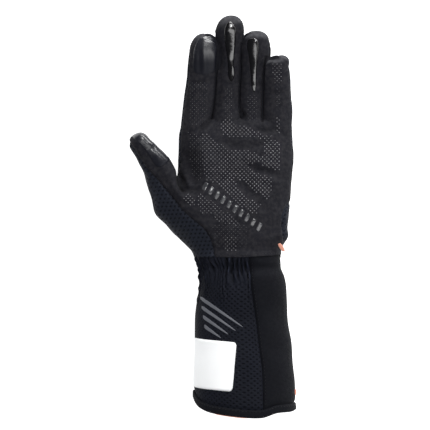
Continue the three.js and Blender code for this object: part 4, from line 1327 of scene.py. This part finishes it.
# Each row of a tongue: down the photograph, its left and its right edge.
MIDDLE_TONGUE = [
    (82, 229.5, 233.2), (76, 228, 233.9), (66, 227.8, 233.9), (56, 226.8, 234.6), (46, 225, 235.8),
    (36, 223.8, 236.4), (28, 224.2, 235.8), (20.5, 226.5, 233),
]
RING_TONGUE = [
    (93, 252.6, 256.2), (85, 251.2, 256.6), (75, 250.4, 256.8), (65, 249.6, 257.4), (55, 248, 258.2),
    (48, 246.8, 258.8), (41, 247.2, 258.6), (37.5, 250, 256),
]
MIDDLE_CREST = ([0.28, 0.36], [1, 0.44], [0.4, 0.085])
RING_CREST = ([0.3, 0.7], [0.62, 0.74], [0.14, 0.14])
add_tongue("middle_tongue", "middle_grip_strip", MIDDLE_TONGUE, MIDDLE_CREST)
add_tongue("ring_tongue", "ring_grip_strip", RING_TONGUE, RING_CREST)

# %% [markdown]
# ### Label and orange tapes
#
# The blank label is glued round the cuff's thumb side, a little askew. A ray from above can't follow it
# round the edge, so it is laid out by arc length round the cuff instead. The two orange tapes are sewn
# into the side seam, folded double, so each is a flat closed tube with a rounded edge.

# %% Label
ARC = {}


def arc_table(down):
    """Angles and arc lengths round the cuff's upper half at a share of its length, from the thumb side."""
    key = round(down, 3)
    if key not in ARC:
        angles = np.linspace(-1.2, 2.6, 240)
        ring = np.array([cuff_point(a, key, 0.0) for a in angles])
        steps = np.hypot(np.diff(ring[:, 0]), np.diff(ring[:, 2]))
        ARC[key] = (angles, np.concatenate([[0], np.cumsum(steps)]), ring[:, 0])
    return ARC[key]


def on_cuff(x_start, back, y, lift):
    """The cuff's surface `back` millimetres round to the thumb side from where x is x_start."""
    down = -y / CUFF_LENGTH
    angles, arc, xs = arc_table(down)
    top = np.argmin(xs)
    start = np.interp(x_start, xs[top:], arc[top:])
    angle = np.interp(start - back, arc, angles)
    return cuff_point(angle, down, lift + CLOTH_WAVE * wave_at(cuff_point(angle, down)))


LABEL_WIDTH, LABEL_HEIGHT, LABEL_TILT, LABEL_CORNER = 41.0, 39.4, math.radians(5.0), 2.6
label_x, label_y = from_photo(236.6, 341.9)


def label_place(u, v):
    """A corner of the label: u from its right edge round to the left, v down."""
    across = u * LABEL_WIDTH
    inner = max(0, LABEL_CORNER - across)
    rounded = LABEL_CORNER - math.sqrt(max(0, LABEL_CORNER ** 2 - inner ** 2))
    drop = rounded + (LABEL_HEIGHT - 2 * rounded) * v
    y = label_y + math.sin(LABEL_TILT) * across - math.cos(LABEL_TILT) * drop
    edge_x = label_x - math.sin(LABEL_TILT) * drop
    crown = min(1, 8 * (1 - abs(2 * u - 1) ** 12)) * min(1, 8 * (1 - abs(2 * v - 1) ** 12))
    return on_cuff(edge_x, math.cos(LABEL_TILT) * across, y, 0.1 + 0.7 * crown)


label_sheet = bent_grid(40, 36, label_place, lambda u, v: (u * LABEL_WIDTH, v * LABEL_HEIGHT))
turn_outwards(label_sheet, from_cuff_middle)
add_piece(label_sheet, "blank_label", label, ["label_patch"], wall=LAYER)


# %% Orange tapes
def folded_tape(start, end, outward, width, thickness):
    """A short tape from start to end, folded so that its round edge stands outward."""
    start, end, outward = Vector(start), Vector(end), Vector(outward).normalized()
    up = (end - start).cross(outward).normalized()

    def place(u, v):
        out, rise = oval(2 * math.pi * v, width / 2, thickness / 2, 3)
        pinch = 1 - 0.35 * abs(2 * u - 1) ** 3
        curl = 0.22 * (out + width / 2) ** 2 / width
        return start + (end - start) * u + outward * (out * pinch + width / 2) + up * (rise + curl)

    return bent_grid(14, 20, place, lambda u, v: (u * 8, v * 8), tube=True, closed=True)


wrist_tape = folded_tape((33.8, 10.2, 35.6), (37.4, 4.4, 33.4), (0.9, 0.35, 0.15), 3.2, 1.2)
add_piece(wrist_tape, "wrist_tape", orange, ["wrist_tab"])
hem_tape_x = cuff_point(math.pi, 0.84).x
hem_tape = folded_tape(
    (hem_tape_x - 0.6, -105.6, 27.5), (hem_tape_x - 0.5, -110, 27.5), (1, 0, 0.1), 2.4, 1.1)
add_piece(hem_tape, "hem_tape", orange, ["hem_tab"])

# %% [markdown]
# ### Silicone dots and grip bars
#
# The palm's grip is a screen print: clear silicone dots in staggered rows, 3.3 mm apart. Their grey is
# partly the print's own tone and partly painted glint. Each zone of the print has its own size of dot, from
# full on the palm to almost worn away on the fingers. Where the hand creases, the print leaves plain bands.
# Each dot is a low cone with six sides, shaded smooth so that it glints like a dome, because there are so
# many of them. A row of plain slanted bars of glossy silicone crosses the palm.

# %% Dots
DOT_ZONES = [
    (0.8, [(217, 222), (213, 215), (199, 213), (198, 196), (207, 192), (218, 200), (232, 212),
           (240, 222), (236, 226)]),
    (1.0, [(199, 193), (206, 191), (216, 198), (233, 211), (236, 216), (199, 214)]),
    (1.1, [(219, 184), (228, 176), (238, 184), (262, 204), (256, 214), (250, 213), (232, 200)]),
    (1.1, [(216, 170), (230, 150), (247, 149), (262, 156), (266, 160), (250, 164), (272, 178),
           (270, 199), (262, 198), (240, 180), (228, 176)]),
    (0.85, [(201, 134), (206, 133), (214, 141), (229, 148), (228, 176), (219, 184), (206, 182),
            (202, 160)]),
    (1.0, [(220, 121), (224, 118), (231, 118), (234, 124), (246, 126), (262, 134), (272, 136),
           (272, 139), (240, 138), (222, 136)]),
    (1.0, [(264, 140), (279, 140), (280, 171), (262, 166), (262, 156)]),
    (0.32, [(188, 132), (203, 136), (204, 160), (200, 182), (192, 176), (189, 150)]),
    (0.9, [(182, 193), (190, 193), (194, 198), (196, 206), (190, 206), (184, 201)]),
    (0.22, [(190, 82), (208, 82), (208, 110), (203, 126), (190, 126)]),
    (0.3, [(224, 87), (232, 87), (232, 118), (224, 118)]),
    (0.28, [(248, 95), (257, 95), (258, 122), (248, 122)]),
    (0.6, [(271, 62), (283, 63), (281, 84), (274, 84)]),
    (0.3, [(275, 84), (281, 84), (280, 106), (276, 106)]),
    (0.8, [(276, 117), (280, 117), (280, 134), (275, 134)]),
    (0.75, [(225, 236), (236, 236), (236, 251), (225, 251)]),
    (0.25, [(212, 224), (247, 224), (248, 248), (216, 248)]),
]
PLAIN_BANDS = [
    [(206, 128), (222, 137), (240, 139), (262, 140), (264, 154), (248, 149), (228, 146), (214, 139)],
    [(249, 164), (262, 167), (281, 172), (281, 181), (266, 176), (252, 171)],
    [(236, 183), (243, 182), (262, 197), (263, 206), (250, 199), (240, 191)],
    [(196, 181), (204, 178), (266, 226), (262, 235), (252, 230), (199, 192)],
]


def inside(outline, px, py):
    """Whether a pixel of the photograph lies inside an outline."""
    found = False
    for (ax, ay), (bx, by) in zip(outline, outline[1:] + outline[:1]):
        if (ay > py) != (by > py) and px < ax + (bx - ax) * (py - ay) / (by - ay):
            found = not found
    return found


# The print's first dot and the steps between its dots and rows, in pixels of the photograph.
FIRST_DOT, DOT_STEP, ROW_STEP, DOT_ROWS, DOT_COLUMNS = (182, 56), 4.13, 2.065, 110, 26
DOT_RADIUS, DOT_HEIGHT, STEEPEST = 0.68, 0.4, 0.55
dots = bmesh.new()
count = 0
for row in range(DOT_ROWS):
    for column in range(DOT_COLUMNS):
        px = FIRST_DOT[0] + (column + 0.5 * (row % 2)) * DOT_STEP
        py = FIRST_DOT[1] + row * ROW_STEP
        sizes = [size for size, zone in DOT_ZONES if inside(zone, px, py)]
        if not sizes or any(inside(band, px, py) for band in PLAIN_BANDS):
            continue
        hit, normal = cloth_under(skin_tree, *from_photo(px, py))
        if normal.z < STEEPEST:
            continue
        radius = DOT_RADIUS * sizes[0] ** 0.5 * chance.uniform(0.88, 1.08)
        stand = normal.to_track_quat("Z", "Y").to_matrix().to_4x4()
        stand = Matrix.Translation(hit + normal * (0.16 * sizes[0] - 0.04)) @ stand
        bmesh.ops.create_cone(dots, segments=6, radius1=radius, radius2=radius * 0.4, depth=DOT_HEIGHT,
                              cap_ends=True, matrix=stand)
        count += 1
add_piece(dots, "palm_dots", dot_print_with_painted_glint)
print(count, "dots")

# %% Grip bars
BAR_START, BAR_STEP, BARS = (205.0, 186.5), (6.0, 4.5), 10
BAR_CORNERS = [(4.0, -2.5), (0.2, -5.2), (-4.0, 2.5), (-0.2, 5.2)]
BAR_FIELD = [(196, 176), (208, 172), (274, 222), (266, 240), (256, 240), (194, 194)]
palm_cloth = panel_from(skin, lambda p: ring_field(BAR_FIELD)(p) > 0)
bars = bmesh.new()
for k in range(BARS):
    mid_x, mid_y = (BAR_START[j] + BAR_STEP[j] * k for j in (0, 1))
    corners = [(mid_x + a, mid_y + b) for a, b in BAR_CORNERS]
    pour(skin_patch(palm_cloth, corners, 0.4, cut=0.14), bars)
add_piece(bars, "grip_bars", bar_print, wall=LAYER)
palm_cloth.free()
skin.free()

# %% Slanted stripes printed on the cuff
STRIPE_SHARES, STRIPE_HALF = (0, 0.35, 0.7, 1), (2.6, 2.1, 1.4, 0.5)
stripes = bmesh.new()
for k in range(4):
    start, run = (199.5 + 1.5 * k, 297 + 9.5 * k), (44 - 9 * k, 30 - 6 * k)
    edges = [[(start[0] + run[0] * t, start[1] + run[1] * t + side * half)
              for t, half in zip(STRIPE_SHARES, STRIPE_HALF)] for side in (1, -1)]
    pour(laid_patch(mesh_tree, *edges, 0.12, 8, 40, sink=0.25), stripes)
add_piece(stripes, "cuff_stripes", grey_print, wall=0.3)

# %% [markdown]
# ### Stitching
#
# Every seam of the real glove is sewn in black thread on black cloth, so the stitches show only as a row
# of tiny glints. Each stitch is a stretched low ball with two dozen faces, laid along the seam and half
# sunk in the cloth.

# %% Stitches
PITCH, STITCH, STITCH_HALF = 2.7, 1.7, 0.2


def stitch_row(bm, spots):
    """Stitches along a line. spots is a list of (point, normal) on the cloth, in millimetres."""
    points = np.array([p for p, n in spots], float)
    steps = np.linalg.norm(np.diff(points, axis=0), axis=1)
    arc = np.concatenate([[0], np.cumsum(steps)])
    for at in np.arange(PITCH / 2, arc[-1] - PITCH / 2, PITCH):
        ends = [Vector([np.interp(a, arc, points[:, k]) for k in range(3)])
                for a in (at - STITCH / 2, at + STITCH / 2)]
        normal = spots[int(np.searchsorted(arc, at)) - 1][1]
        along = (ends[1] - ends[0]).normalized()
        side = normal.cross(along).normalized()
        turn = Matrix((along, side, along.cross(side))).transposed().to_4x4()
        place = Matrix.Translation((ends[0] + ends[1]) / 2 + normal * 0.08) @ turn
        place = place @ Matrix.Diagonal((STITCH / 2, STITCH_HALF, STITCH_HALF, 1))
        bmesh.ops.create_uvsphere(bm, u_segments=6, v_segments=4, radius=1, matrix=place)


def on_cloth(tree, line):
    """Points of a line seen from above, with the cloth's height and normal under them."""
    return [cloth_under(tree, x, y) for x, y in line]


def round_cuff(angles, downs, lift=0.0):
    """A line on the cuff from matching angles and shares of its length."""
    spots = []
    for angle, down in zip(angles, downs):
        point, inner = cuff_point(angle, down, lift), cuff_point(angle, down, lift - 1)
        spots.append((point, (point - inner).normalized()))
    return spots


# Along the seam round the thumb's base, and across the palm's lower edge.
sewn = bmesh.new()
beside_thumb = [p + np.array([1.3, 0.5]) for p in thumb_line[8:54]]
above_wrist = [(x, 1.8 + np.interp(x, [8, 30], [0, 1.4])) for x in np.linspace(-14, 36, 40)]
for line in (beside_thumb, above_wrist):
    stitch_row(sewn, on_cloth(skin_tree, line))
add_piece(sewn, "palm_stitches", thread)

# On both sides of the cuff's two seams, down its side, and in two rows round the hem.
sewn = bmesh.new()
downs = np.linspace(0.03, 0.94, 90)
for turn, lift in ((0.05, 0.16), (-0.05, 0.0)):
    for side in (1, -1):
        stitch_row(sewn, round_cuff([side * (seam_angle(d) + turn) for d in downs], downs, lift))
side_row = np.linspace(0.2, 0.95, 80)
stitch_row(sewn, round_cuff([2.7] * len(side_row), side_row, 0.75))
for rise in (0.9, 5.0):
    angles = np.linspace(0, 2 * math.pi, 160)
    stitch_row(sewn, round_cuff(angles, [hem_down(angle, rise) for angle in angles], 0.62))
add_piece(sewn, "cuff_stitches", thread)

# %% Orange piping under the hem
PIPING_ANGLES, PIPING_RADIUS = (0.95, 1.62), 0.45


def piping_place(u, v):
    """A corner of the piping: u along the hem's lower edge, v round its section."""
    angle = PIPING_ANGLES[0] + (PIPING_ANGLES[1] - PIPING_ANGLES[0]) * u
    spot = cuff_point(angle, hem_down(angle, 0, 0.98), -0.9)
    radius = PIPING_RADIUS * min(1, 8 * u, 8 * (1 - u))
    turn = 2 * math.pi * v
    return spot + Vector((0, -0.1 - radius * math.cos(turn), radius * math.sin(turn)))


piping = bent_grid(60, 10, piping_place, lambda u, v: (u * 20, v * 3), tube=True, closed=True)
add_piece(piping, "hem_piping", orange)
